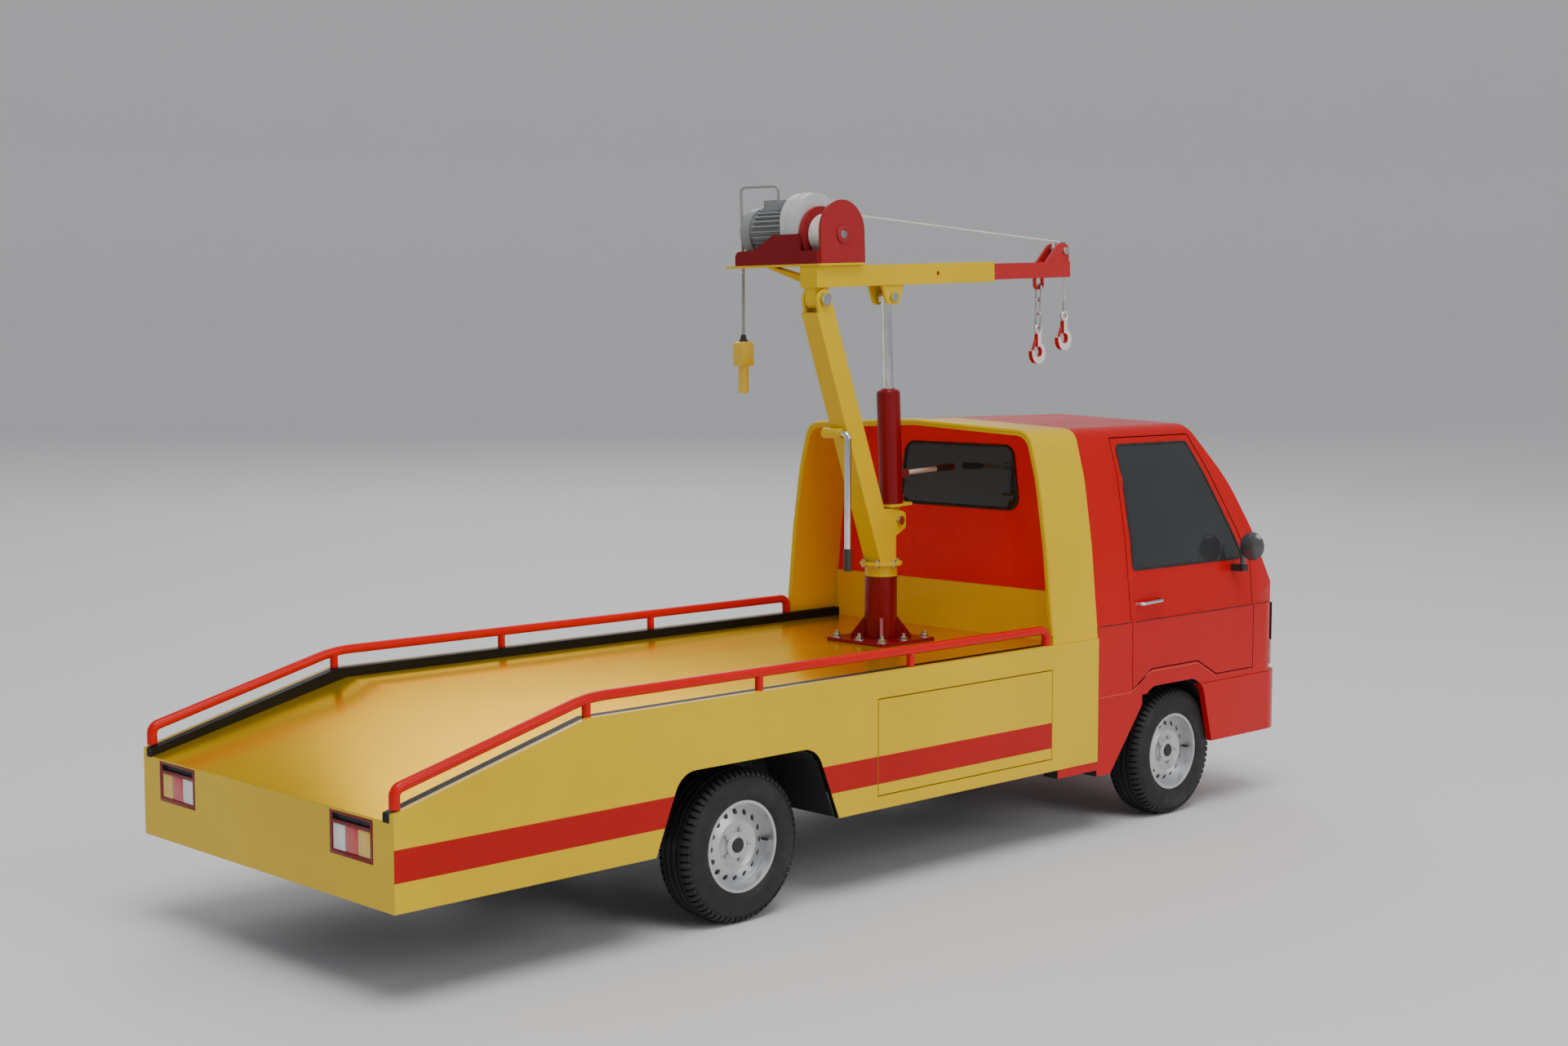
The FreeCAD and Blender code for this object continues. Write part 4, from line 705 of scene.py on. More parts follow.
def lathe(name: str, profile: Sequence[tuple[float, float]], finish: Finish, steps: int = 72,
          place: Matrix | None = None) -> bpy.types.Object:
    """Turn a closed profile of (radius, height) about Z, then put it in place.

    Args:
        name: the piece's name.
        profile: the closed section, in metres.
        finish: the piece's finish.
        steps: sections round the turn.
        place: where the turned piece goes.

    Returns:
        The turned piece.
    """
    form = bmesh.new()
    rings = []
    for step in range(steps):
        turn = 2 * math.pi * step / steps
        rings.append([form.verts.new((radius * math.cos(turn), radius * math.sin(turn), height))
                      for radius, height in profile])
    count = len(profile)
    for step in range(steps):
        one, two = rings[step], rings[(step + 1) % steps]
        for index in range(count):
            after = (index + 1) % count
            form.faces.new((one[index], two[index], two[after], one[after]))
    bmesh.ops.remove_doubles(form, verts=form.verts, dist=1e-7)
    bmesh.ops.recalc_face_normals(form, faces=form.faces)
    if place is not None:
        bmesh.ops.transform(form, matrix=place, verts=form.verts)
    mesh = bpy.data.meshes.new(name)
    form.to_mesh(mesh)
    form.free()
    mesh.materials.append(finish.material())
    smooth(mesh)
    return new_object(name, mesh)


class Tree:
    """A Geometry Nodes tree with named inputs, applied to make one plain mesh."""

    def __init__(self, name: str, inputs: dict[str, object]) -> None:
        """Args:
            name: the node group's name.
            inputs: each input's name and value.
        """
        self.group = bpy.data.node_groups.new(name, "GeometryNodeTree")
        face = self.group.interface
        face.new_socket("Geometry", in_out="OUTPUT", socket_type="NodeSocketGeometry")
        self.sockets = {}
        for label, value in inputs.items():
            kind = {int: "NodeSocketInt", float: "NodeSocketFloat", bool: "NodeSocketBool"}.get(type(value))
            if isinstance(value, bpy.types.Object):
                kind = "NodeSocketObject"
            elif isinstance(value, bpy.types.Material):
                kind = "NodeSocketMaterial"
            elif isinstance(value, Vector):
                kind = "NodeSocketVector"
            self.sockets[label] = face.new_socket(label, in_out="INPUT", socket_type=kind)
        self.start = self.group.nodes.new("NodeGroupInput")
        self.values = inputs

    def add(self, kind: str, settings: dict[str, object] | None = None, **inputs: object) -> bpy.types.Node:
        """Add a node; an input may be a value, an output socket or an input's name after @.

        Args:
            kind: the node's type, without GeometryNode.
            settings: the node's own properties.
            **inputs: sockets by name, or by number after an underscore.

        Returns:
            The new node.
        """
        whole = kind.startswith(("Function", "Shader"))
        node = self.group.nodes.new(kind if whole else "GeometryNode" + kind)
        for key, value in (settings or {}).items():
            setattr(node, key, value)
        for key, value in inputs.items():
            socket = node.inputs[int(key[1:])] if key[0] == "_" else node.inputs[key.replace("_", " ")]
            if isinstance(value, bpy.types.NodeSocket):
                self.group.links.new(value, socket)
            elif isinstance(value, str) and value.startswith("@"):
                self.group.links.new(self.start.outputs[value[1:]], socket)
            else:
                socket.default_value = value
        return node

    def bake(self, name: str, geometry: bpy.types.NodeSocket) -> bpy.types.Object:
        """Realize, set the material, run the tree once and keep its mesh.

        Args:
            name: the piece's name.
            geometry: the tree's last geometry socket.

        Returns:
            A plain mesh object.
        """
        real = self.add("RealizeInstances", Geometry=geometry)
        paint = self.add("SetMaterial", Geometry=real.outputs[0], Material="@Finish")
        end = self.group.nodes.new("NodeGroupOutput")
        self.group.links.new(paint.outputs[0], end.inputs[0])
        holder = new_object(name, bpy.data.meshes.new(name))
        modifier = holder.modifiers.new("build", "NODES")
        modifier.node_group = self.group
        for label, value in self.values.items():
            modifier[self.sockets[label].identifier] = value
        return settled(holder)


def placed(piece: bpy.types.Object, matrix: Matrix) -> bpy.types.Object:
    """Move a piece's mesh, not its object.

    Args:
        piece: the piece to move.
        matrix: where it goes.

    Returns:
        The same piece.
    """
    piece.data.transform(matrix)
    if matrix.to_3x3().determinant() < 0:
        piece.data.flip_normals()
    return piece


def hidden_template(piece: bpy.types.Object) -> bpy.types.Object:
    """Keep a template for instancing out of the scene.

    Args:
        piece: the piece to instance.

    Returns:
        The same piece, out of every collection.
    """
    for collection in piece.users_collection:
        collection.objects.unlink(piece)
    return piece


def ring_of(name: str, template: bpy.types.Object, count: int, radius: float, finish: Finish,
            matrix: Matrix) -> bpy.types.Object:
    """Repeat a template round a circle about Z, each turned to face outwards, then place the ring.

    Args:
        name: the ring's name.
        template: what is repeated.
        count: how many times.
        radius: the circle's radius, in metres.
        finish: the ring's finish.
        matrix: where the circle's axis goes.

    Returns:
        The ring as one plain mesh.
    """
    tree = Tree(name + "_ring", {"Template": template, "Count": count, "Radius": radius,
                                 "Finish": finish.material()})
    circle = tree.add("MeshCircle", Vertices="@Count", Radius="@Radius")
    info = tree.add("ObjectInfo", {"transform_space": "ORIGINAL"}, Object="@Template")
    spot = tree.add("InputPosition")
    turn = tree.add("FunctionNodeAlignRotationToVector", {"axis": "X"}, Vector=spot.outputs[0])
    many = tree.add("InstanceOnPoints", Points=circle.outputs[0], Instance=info.outputs["Geometry"],
                    Rotation=turn.outputs[0])
    piece = tree.bake(name, many.outputs[0])
    smooth(piece.data)
    return placed(piece, matrix)


def route(name: str, points: Sequence[Vector], closed: bool = False) -> bpy.types.Object:
    """A poly curve through points, for trees that follow a path.

    Args:
        name: the curve's name.
        points: the path, in metres.
        closed: whether it is a loop.

    Returns:
        The curve as an object outside the scene.
    """
    curve = bpy.data.curves.new(name, "CURVE")
    curve.dimensions = "3D"
    spline = curve.splines.new("POLY")
    spline.points.add(len(points) - 1)
    for item, point in zip(spline.points, points):
        item.co = (*point, 1.0)
    spline.use_cyclic_u = closed
    return bpy.data.objects.new(name, curve)


def rod_along(name: str, points: Sequence[Vector], radius: float, finish: Finish, closed: bool = False,
              sides: int = 16, flat: float = 1.0) -> bpy.types.Object:
    """Sweep a round or flattened section along a path with a Geometry Nodes tree.

    Args:
        name: the piece's name.
        points: the path.
        radius: the section's half width.
        finish: the piece's finish.
        closed: whether the path is a loop.
        sides: points round the section.
        flat: the section's height over its width.

    Returns:
        The swept piece.
    """
    path = route(name + "_path", points, closed)
    tree = Tree(name + "_sweep", {"Path": path, "Radius": radius, "Sides": sides,
                                  "Finish": finish.material()})
    info = tree.add("ObjectInfo", {"transform_space": "ORIGINAL"}, Object="@Path")
    section = tree.add("CurvePrimitiveCircle", Resolution="@Sides", Radius="@Radius")
    squeeze = tree.add("Transform", Geometry=section.outputs[0], Scale=(1.0, flat, 1.0))
    swept = tree.add("CurveToMesh", Curve=info.outputs["Geometry"], Profile_Curve=squeeze.outputs[0],
                     Fill_Caps=not closed)
    piece = tree.bake(name, swept.outputs[0])
    smooth(piece.data, 50.0)
    return piece


def arc_points(corners: Sequence[Vector], radius: float, closed: bool = True, steps: int = 6) -> list[Vector]:
    """A polygon's points with its corners rounded.

    Args:
        corners: the polygon's corners.
        radius: the corners' radius, in metres.
        closed: whether the polygon is a loop.
        steps: points for each corner, less one.

    Returns:
        The rounded outline.
    """
    points: list[Vector] = []
    count = len(corners)
    for index, corner in enumerate(corners):
        if not closed and index in (0, count - 1):
            points.append(corner.copy())
            continue
        back = (corners[index - 1] - corner).normalized()
        ahead = (corners[(index + 1) % count] - corner).normalized()
        half = back.angle(ahead) / 2
        reach = radius / math.tan(half)
        centre = corner + (back + ahead).normalized() * (radius / math.sin(half))
        first, last = corner + back * reach, corner + ahead * reach
        for step in range(steps + 1):
            spot = first.lerp(last, step / steps)
            points.append(centre + (spot - centre).normalized() * radius)
    return points


def dense(points: Sequence[Vector], gap: float, closed: bool = True) -> list[Vector]:
    """The same path with no step longer than a gap.

    Args:
        points: the path.
        gap: the longest step, in metres.
        closed: whether it is a loop.

    Returns:
        The path with points added.
    """
    out: list[Vector] = []
    count = len(points)
    for index in range(count if closed else count - 1):
        one, two = points[index], points[(index + 1) % count]
        parts = max(1, math.ceil((two - one).length / gap))
        out += [one.lerp(two, step / parts) for step in range(parts)]
    if not closed:
        out.append(points[-1].copy())
    return out


class Skin:
    """The surface of one or more CAD nodes, to lay trim on."""

    def __init__(self, *nodes: str) -> None:
        """Gather the nodes' triangles.

        Args:
            *nodes: the CAD nodes that make up the surface.
        """
        verts: list[Vector] = []
        faces: list[tuple[int, ...]] = []
        for node in nodes:
            mesh = frame["nodes"][node].data
            base = len(verts)
            verts += [vertex.co.copy() for vertex in mesh.vertices]
            faces += [tuple(base + index for index in face.vertices) for face in mesh.polygons]
        self.tree = BVHTree.FromPolygons(verts, faces)

    def drop(self, point: Vector, way: Vector, proud: float = 0.0) -> Vector:
        """Where a point thrown along a way lands, stood off by proud.

        Args:
            point: where the throw starts.
            way: the direction thrown.
            proud: the stand-off, in metres.

        Returns:
            The point laid on the surface.
        """
        hit, normal, _, _ = self.tree.ray_cast(point, way.normalized())
        if hit is None:
            hit, normal, _, _ = self.tree.find_nearest(point)
        if normal.dot(way) > 0:
            normal = -normal
        return hit + normal * proud


def block(name: str, low: Vector, high: Vector, finish: Finish, bevel: float = 0.2,
          matrix: Matrix | None = None) -> bpy.types.Object:
    """A block with rounded edges, for small fittings.

    Args:
        name: the piece's name.
        low: its low corner, in metres.
        high: its high corner.
        finish: its finish.
        bevel: the edges' radius, in millimetres.
        matrix: a further move, if any.

    Returns:
        The block.
    """
    form = bmesh.new()
    bmesh.ops.create_cube(form, size=1.0)
    for vertex in form.verts:
        vertex.co = Vector([low[i] + (vertex.co[i] + 0.5) * (high[i] - low[i]) for i in range(3)])
    bmesh.ops.bevel(form, geom=form.edges[:], offset=bevel * MM, segments=3, affect="EDGES", profile=0.5)
    if matrix is not None:
        bmesh.ops.transform(form, matrix=matrix, verts=form.verts)
    mesh = bpy.data.meshes.new(name)
    form.to_mesh(mesh)
    form.free()
    mesh.materials.append(finish.material())
    smooth(mesh)
    return new_object(name, mesh)


def merged(name: str, pieces: Sequence[bpy.types.Object]) -> bpy.types.Object:
    """One object from several meshes, keeping their materials.

    Args:
        name: the new piece's name.
        pieces: the pieces, which are used up.

    Returns:
        The joined piece.
    """
    form = bmesh.new()
    materials: list[bpy.types.Material] = []
    for piece in pieces:
        start = len(form.faces)
        form.from_mesh(piece.data)
        form.faces.ensure_lookup_table()
        table = []
        for material in piece.data.materials:
            if material not in materials:
                materials.append(material)
            table.append(materials.index(material))
        for face in form.faces[start:]:
            face.material_index = table[face.material_index]
        bpy.data.objects.remove(piece)
    mesh = bpy.data.meshes.new(name)
    form.to_mesh(mesh)
    form.free()
    for material in materials:
        mesh.materials.append(material)
    smooth(mesh)
    return new_object(name, mesh)


def hex_nut(name: str, across: float, height: float, stud: float = 0.0) -> bpy.types.Object:
    """A chamfered hexagonal nut on its own Z axis, with a rounded stud end if asked.

    Args:
        name: the nut's name.
        across: the width across its flats, in metres.
        height: its height.
        stud: the stud's radius, or nought for none.

    Returns:
        The nut, outside the scene.
    """
    form = bmesh.new()
    corner = across / math.sqrt(3)
    bmesh.ops.create_cone(form, cap_ends=True, segments=6, radius1=corner, radius2=corner, depth=height)
    bmesh.ops.translate(form, vec=(0, 0, height / 2), verts=form.verts)
    bmesh.ops.bevel(form, geom=form.edges[:], offset=height * 0.12, segments=2, affect="EDGES", profile=0.5)
    if stud:
        made = bmesh.ops.create_cone(form, cap_ends=True, segments=16, radius1=stud, radius2=stud * 0.8,
                                     depth=height * 0.7)
        bmesh.ops.translate(form, vec=(0, 0, height * 1.3), verts=made["verts"])
    mesh = bpy.data.meshes.new(name)
    form.to_mesh(mesh)
    form.free()
    smooth(mesh)
    return bpy.data.objects.new(name, mesh)


def rope_along(name: str, points: Sequence[Vector], radius: float, pitch: float) -> bpy.types.Object:
    """A laid rope of three strands along a path.

    Args:
        name: the piece's name.
        points: the path, in metres.
        radius: the rope's outer radius.
        pitch: the length over which a strand goes once round.

    Returns:
        The rope's plain mesh.
    """
    path = route(name + "_path", points)
    tree = Tree(name + "_lay", {"Path": path, "Radius": radius, "Pitch": pitch, "Strands": 3,
                                "Finish": ROPE.material()})
    info = tree.add("ObjectInfo", {"transform_space": "ORIGINAL"}, Object="@Path")
    fine = tree.add("ResampleCurve", {"mode": "LENGTH"}, Curve=info.outputs["Geometry"], Length=0.0004)
    along = tree.add("SplineParameter")
    turns = tree.add("ShaderNodeMath", {"operation": "DIVIDE"}, _0=along.outputs["Length"], _1="@Pitch")
    tilt = tree.add("ShaderNodeMath", {"operation": "MULTIPLY"}, _0=turns.outputs[0], _1=2 * math.pi)
    laid = tree.add("SetCurveTilt", Curve=fine.outputs[0], Tilt=tilt.outputs[0])
    section = tree.add("CurvePrimitiveCircle", Resolution=12, Radius="@Radius")
    spot = tree.add("InputPosition")
    parts = tree.add("ShaderNodeSeparateXYZ", _0=spot.outputs[0])
    angle = tree.add("ShaderNodeMath", {"operation": "ARCTAN2"}, _0=parts.outputs[1], _1=parts.outputs[0])
    lobes = tree.add("ShaderNodeMath", {"operation": "MULTIPLY"}, _0=angle.outputs[0], _1=3.0)
    ripple = tree.add("ShaderNodeMath", {"operation": "COSINE"}, _0=lobes.outputs[0])
    depth = tree.add("ShaderNodeMath", {"operation": "MULTIPLY_ADD"}, _0=ripple.outputs[0], _1=0.14, _2=0.86)
    lobed = tree.add("ShaderNodeVectorMath", {"operation": "SCALE"}, _0=spot.outputs[0],
                     Scale=depth.outputs[0])
    profile = tree.add("SetPosition", Geometry=section.outputs[0], Position=lobed.outputs[0])
    swept = tree.add("CurveToMesh", Curve=laid.outputs[0], Profile_Curve=profile.outputs[0], Fill_Caps=True)
    piece = tree.bake(name, swept.outputs[0])
    smooth(piece.data, 60.0)
    return piece


def liners(name: str, line: Sequence[tuple[float, float]], depth: tuple[float, float]) -> bpy.types.Object:
    """Thin moulded liners inside a pair of wheel arches.

    Args:
        name: the piece's name.
        line: the arch's outline as (x, z) in millimetres.
        depth: how far out and how far in each liner reaches, in millimetres from the middle.

    Returns:
        Both liners as one piece.
    """
    pieces = []
    for side in Side:
        form = bmesh.new()
        rows = [[form.verts.new((x * MM, y * side.value * MM, z * MM)) for x, z in line] for y in depth]
        for index in range(len(line) - 1):
            form.faces.new((rows[0][index], rows[0][index + 1], rows[1][index + 1], rows[1][index]))
        form.faces.new(rows[1])
        bmesh.ops.recalc_face_normals(form, faces=form.faces)
        mesh = bpy.data.meshes.new("liner")
        form.to_mesh(mesh)
        form.free()
        mesh.materials.append(BLACK_PLASTIC.material())
        piece = new_object("liner", mesh)
        wall = piece.modifiers.new("wall", "SOLIDIFY")
        wall.thickness = 0.2 * MM
        wall.offset = 0.0
        pieces.append(settled(piece))
    return merged(name, pieces)


def on_truck(piece: bpy.types.Object, body: str = "truck") -> bpy.types.Object:
    """Hand over a small added fitting."""
    return finished(piece, body, ())


# ---------------------------------------------------------------- running gear

@dataclass
class RunningGear:
    """Tyres, rims, axles and the frame under the body."""

    tyre_radius: float = 0.01984
    rim_radius: float = 0.0119
    half_width: float = 0.00625
    face_y: float = 0.0535
    lugs: int = 5
    treads: int = 64

    def build(self) -> None:
        """Dress both axles and the chassis."""
        refine("chassis_frame", BLACK)
        for end in ("front", "rear"):
            refine(end + "_axle", STEEL)
            refine(end + "_rims", SILVER)
            self.tyres(end)
            self.fittings(end)

    def wheel_places(self, end: str) -> list[Matrix]:
        """Matrices that put a wheel drawn about +Z, outer side up, in its two places.

        Args:
            end: front or rear.

        Returns:
            The left and right wheels' matrices.
        """
        axle = joint_at(end + "_axle_spin")
        middle = self.face_y - self.half_width
        return [Matrix.Translation((axle.x, middle * side.value, axle.z))
                @ Matrix.Rotation(math.radians(-90 * side.value), 4, "X") for side in Side]

    def profile(self) -> list[tuple[float, float]]:
        """The tyre's closed cross-section of (radius, height): sidewalls, shoulders and grooves.

        Returns:
            The section, in metres.
        """
        side = [(0.0, -5.25), (0.5, -5.75), (1.2, -6.1), (1.5, -6.22), (2.6, -6.25), (2.8, -6.16),
                (4.2, -6.12), (5.6, -5.85), (6.3, -5.3), (6.9, -4.5), (7.25, -3.6), (7.3, -3.1),
                (7.94, -3.05)]
        tread = []
        for centre in (-2.1, 0.0, 2.1):
            tread += [(7.94, centre - 0.42), (7.3, centre - 0.3), (7.3, centre + 0.3), (7.94, centre + 0.42)]
        points = side + tread + [(radius, -height) for radius, height in reversed(side)]
        return [(self.rim_radius + radius * MM, height * MM) for radius, height in points]

    def shoulder_block(self) -> bpy.types.Object:
        """One tread block of the shoulder, with its place on the tread circle as origin.

        Returns:
            The block, outside the scene.
        """
        outline = [(-1.0, 3.1), (0.0, 3.1), (0.0, 3.85), (-0.35, 4.7), (-1.1, 5.45), (-1.7, 5.5), (-1.0, 4.0)]
        form = bmesh.new()
        ends = [[form.verts.new((x * MM, y * MM, z * MM)) for x, z in outline] for y in (-0.62, 0.62)]
        form.faces.new(ends[0])
        form.faces.new(reversed(ends[1]))
        count = len(outline)
        for index in range(count):
            after = (index + 1) % count
            form.faces.new((ends[0][after], ends[0][index], ends[1][index], ends[1][after]))
        bmesh.ops.recalc_face_normals(form, faces=form.faces)
        mesh = bpy.data.meshes.new("shoulder_block")
        form.to_mesh(mesh)
        form.free()
        return bpy.data.objects.new("shoulder_block", mesh)

    def tyres(self, end: str) -> None:
        """Both tyres of an axle, with their shoulder blocks.

        Args:
            end: front or rear.
        """
        pieces = []
        for matrix in self.wheel_places(end):
            pieces.append(lathe("tyre", self.profile(), TYRE, 96, matrix))
            for flip in (1.0, -1.0):
                turn = matrix @ Matrix.Diagonal((1.0, 1.0, flip, 1.0))
                tooth = self.shoulder_block()
                pieces.append(ring_of("tread", tooth, self.treads, self.tyre_radius, TYRE, turn))
        finished(merged(end + "_tyre_pair", pieces), end + "_wheels", [end + "_tyres"])

    def fittings(self, end: str) -> None:
        """Hub caps, lug nuts and valves.

        Args:
            end: front or rear.
        """
        face = self.half_width - 0.9 * MM - 3.0 * MM
        pieces = []
        for matrix in self.wheel_places(end):
            base = face + 0.1 * MM
            cap = [(0.0, base), (1.9 * MM, base), (1.95 * MM, base + 1.1 * MM), (1.7 * MM, base + 1.4 * MM),
                   (0.0, base + 1.45 * MM)]
            pieces.append(lathe("hub_cap", cap, BLACK_PLASTIC, 36, matrix))
            collar = [(1.95 * MM, base), (2.75 * MM, base), (2.7 * MM, base + 0.7 * MM),
                      (1.95 * MM, base + 0.95 * MM)]
            pieces.append(lathe("hub_collar", collar, SILVER, 36, matrix))
            nut = hex_nut("lug_nut", 1.05 * MM, 0.7 * MM, 0.25 * MM)
            lift = matrix @ Matrix.Translation((0, 0, face + 0.45 * MM))
            pieces.append(ring_of("lugs", nut, self.lugs, 4.1 * MM, SILVER, lift))
            valve = Matrix.Translation((9.9 * MM, 0, face - 0.2 * MM))
            stem = [(0.0, 0.0), (0.4 * MM, 0.0), (0.4 * MM, 1.7 * MM), (0.3 * MM, 1.9 * MM), (0.0, 1.9 * MM)]
            pieces.append(lathe("valve", stem, BLACK_PLASTIC, 12, matrix @ valve))
        finished(merged(end + "_wheel_fittings", pieces), end + "_wheels", ())


# ---------------------------------------------------------------- flat bed

@dataclass
class FlatBed:
    """Ramp bed with its channels, rails, lockers and tail lamps; sizes in millimetres."""

    inner_half: float = 54.15
    outer_half: float = 55.75
    stripe_low: float = 29.6
    stripe_high: float = 37.1
    stripe_front: float = 53.4
    rear_x: float = -175.0
    sill: float = 22.7

    def build(self) -> None:
        """Paint the bed and add its small fittings."""
        levels = (self.stripe_low, self.stripe_high)
        regions = (Region(STRIPE_RED, self.is_stripe), Region(DECK_YELLOW, self.is_deck),
                   Region(BLACK, self.is_under))
        refine("bed_body", YELLOW, 0.0, regions, levels)
        for side in Side:
            refine(side.label + "_locker_door", YELLOW, 0.0, (Region(STRIPE_RED, self.is_stripe),), levels)
        refine("deck_channels", BLACK, 0.0)
        refine("side_rails", RAIL_RED)
        refine("tail_lamp_frames", MAROON, 0.12, (Region(BLACK_PLASTIC, self.is_lamp_slot),))
        self.lenses()
        self.arch_liners()

    def is_stripe(self, centre: Vector, normal: Vector) -> bool:
        """The painted band along the outer sides.

        Args:
            centre: the face's middle, in metres.
            normal: the face's outward normal.

        Returns:
            Whether the face is painted red.
        """
        x, y, z = centre / MM
        level = self.stripe_low < z < self.stripe_high
        return level and abs(y) > self.outer_half - 0.05 and abs(normal.y) > 0.9 and x < self.stripe_front

    def is_deck(self, centre: Vector, normal: Vector) -> bool:
        """The floor that a car rolls on."""
        return normal.z > 0.5 and centre.z > 43 * MM and abs(centre.y) < self.inner_half * MM

    def is_under(self, centre: Vector, normal: Vector) -> bool:
        """Everything that faces the road or the wheels.

        Args:
            centre: the face's middle, in metres.
            normal: the face's outward normal.

        Returns:
            Whether the face is left black.
        """
        x, y, z = centre / MM
        if abs(y) > self.outer_half - 0.05 or x < self.rear_x + 1.7 or z < self.sill + 0.05:
            return z < self.sill + 0.05
        in_arch = abs(x + 67.5) < 32.5 and z < 42.8
        in_locker = 34.0 < abs(y) and -21.0 < x < 53.2 and 26.1 < z < 52.8
        return in_arch or (normal.z < 0.5 and not in_locker and z < 57.0 and abs(y) < self.inner_half + 0.02)

    def is_lamp_slot(self, centre: Vector, normal: Vector) -> bool:
        """The dark slot over the lenses."""
        return centre.z > 40.4 * MM and centre.z < 42.0 * MM and centre.x > (self.rear_x + 0.3) * MM

    def lenses(self) -> None:
        """Ribbed lenses: amber outside, red in the middle, clear inside."""
        def band(first: float, last: float) -> Callable[[Vector, Vector], bool]:
            """A test for faces whose distance from the middle is between two values."""
            return lambda centre, normal: first < abs(centre.y) / MM < last
        refine("tail_lamp_lenses", LENS_AMBER, 0.1, (Region(LENS_WHITE, band(31.0, 36.4)),
                                                     Region(LENS_RED, band(36.4, 41.6))))

    def arch_liners(self) -> None:
        """Black moulded liners that close each rear wheel arch inwards."""
        line = [(-99.1, 22.9), (-92.9, 37.9), (-90.5, 40.9), (-86.5, 42.35), (-48.5, 42.35), (-44.5, 40.9),
                (-42.1, 37.9), (-35.9, 22.9)]
        on_truck(liners("rear_arch_liners", line, (54.0, 33.0)))


# ---------------------------------------------------------------- cab

@dataclass
class Cab:
    """Cab shell, hoop, doors, glazing, front end and trim; sizes in millimetres."""

    rear_x: float = 74.7
    waist: float = 63.0
    window: tuple[tuple[float, float], ...] = ((92.7, 116.2), (128.6, 116.2), (152.4, 78.3), (94.2, 78.5))
    rear_window: tuple[tuple[float, float], ...] = ((-24.6, 96.3), (-21.9, 115.6),
                                                    (21.9, 115.6), (24.6, 96.3))
    screen: tuple[tuple[float, float], ...] = ((-47.0, 79.0), (-40.5, 116.8), (40.5, 116.8), (47.0, 79.0))
    step_line: tuple[tuple[float, float], ...] = ((76.0, 41.6), (91.2, 41.6), (100.7, 46.9), (126.2, 47.0),
                                                  (135.6, 41.7), (135.9, 41.6))

    arch_line: tuple[tuple[float, float], ...] = (
        (80.9, 17.8), (96.8, 36.9), (99.4, 39.6), (102.6, 41.4), (105.6, 42.0), (122.4, 42.0), (125.8, 41.0),
        (128.0, 39.2), (129.6, 36.6), (131.9, 34.0), (133.7, 31.6), (136.2, 26.9), (137.3, 21.8))

    def build(self) -> None:
        """Paint the shell and doors, then lay the trim on them."""
        refine("cab_shell", RED, 0.0, (Region(LIT_WALL_RED, self.is_wall), Region(BLACK_PLASTIC, self.is_inside)))
        refine("hoop", YELLOW, 0.0, (Region(LIT_HOOP_YELLOW, self.is_hoop_inside),))
        for side in Side:
            refine(side.label + "_door", RED, 0.0, (Region(CHROME, self.is_handle),
                                                    Region(BLACK_PLASTIC, self.is_foot),
                                                    Region(BLACK_PLASTIC, self.is_inside)))
            refine(side.label + "_door_glass", GLASS)
            refine(side.label + "_mirror", MIRROR_GREY, 0.0, (Region(MIRROR_GLASS, self.is_mirror_face),))
            self.side_seal(side)
            self.step(side)
        refine("cab_glass", GLASS)
        refine("front_bumper", RED)
        refine("grille", BLACK_PLASTIC)
        refine("front_lamps", LAMP_CLEAR)
        refine("dashboard", BLACK_PLASTIC, 0.3)
        refine("steering_wheel", BLACK_PLASTIC)
        self.fixed_seals()
        self.waist_crease_shade_lines()
        self.nose_strip()
        self.hoop_edge()
        on_truck(liners("front_arch_liners", self.arch_line, (53.2, 36.0)))

    def is_wall(self, centre: Vector, normal: Vector) -> bool:
        """The cab's back, seen through the hoop, which gets a brighter copy of the shell's red as painted
        light.
        """
        return normal.x < -0.9 and centre.x < (self.rear_x + 0.3) * MM

    def is_inside(self, centre: Vector, normal: Vector) -> bool:
        """Whatever faces the cab's middle.

        Args:
            centre: the face's middle, in metres.
            normal: the face's outward normal.

        Returns:
            Whether the face is trimmed in black.
        """
        sill, cabin = 44.0, Vector((0.120, 0.0, 0.080))
        if centre.z / MM < sill:
            return abs(normal.y) < 0.5 or normal.y * centre.y < 0
        return normal.dot(cabin - centre) > 0

    def is_handle(self, centre: Vector, normal: Vector) -> bool:
        """The pull bow on a door."""
        x, y, z = centre / MM
        return 94.0 < x < 107.0 and 67.0 < z < 70.0 and abs(y) > 54.75

    def is_foot(self, centre: Vector, normal: Vector) -> bool:
        """The mirror's foot on a door."""
        x, y, z = centre / MM
        return 145.0 < x < 149.0 and 74.0 < z < 77.0 and abs(y) > 54.6

    def is_mirror_face(self, centre: Vector, normal: Vector) -> bool:
        """The mirror's flat reflecting side."""
        return normal.x < -0.95 and abs(centre.x - 145.9 * MM) < 0.1 * MM and abs(centre.y) > 0.058

    def is_hoop_inside(self, centre: Vector, normal: Vector) -> bool:
        """The hoop's inner faces and the low wall, which get a brighter copy of the yellow as painted light.
        """
        faces_in = normal.dot(Vector((centre.x, 0.0, 0.085)) - centre) > 0
        return faces_in or abs(centre.y) < 0.05 and centre.z < 0.0725

    def seal(self, name: str, path: Sequence[Vector], body: str, width: float = 0.75) -> None:
        """A flattened rubber bead along a closed path."""
        on_truck(rod_along(name, path, width * MM, SEAL, True, 10, 0.8), body)

    def side_seal(self, side: Side) -> None:
        """The rubber round a door's window.

        Args:
            side: the truck's side.
        """
        skin = Skin(side.label + "_door", side.label + "_door_glass")
        corners = [Vector((x, 0, z)) * MM for x, z in self.window]
        path = [skin.drop(point + Vector((0, 0.09 * side.value, 0)), Vector((0, -side.value, 0)), 0.0)
                for point in dense(arc_points(corners, 1.6 * MM), 3 * MM)]
        self.seal(side.label + "_window_seal", path, side.label + "_door_leaf", 0.36)

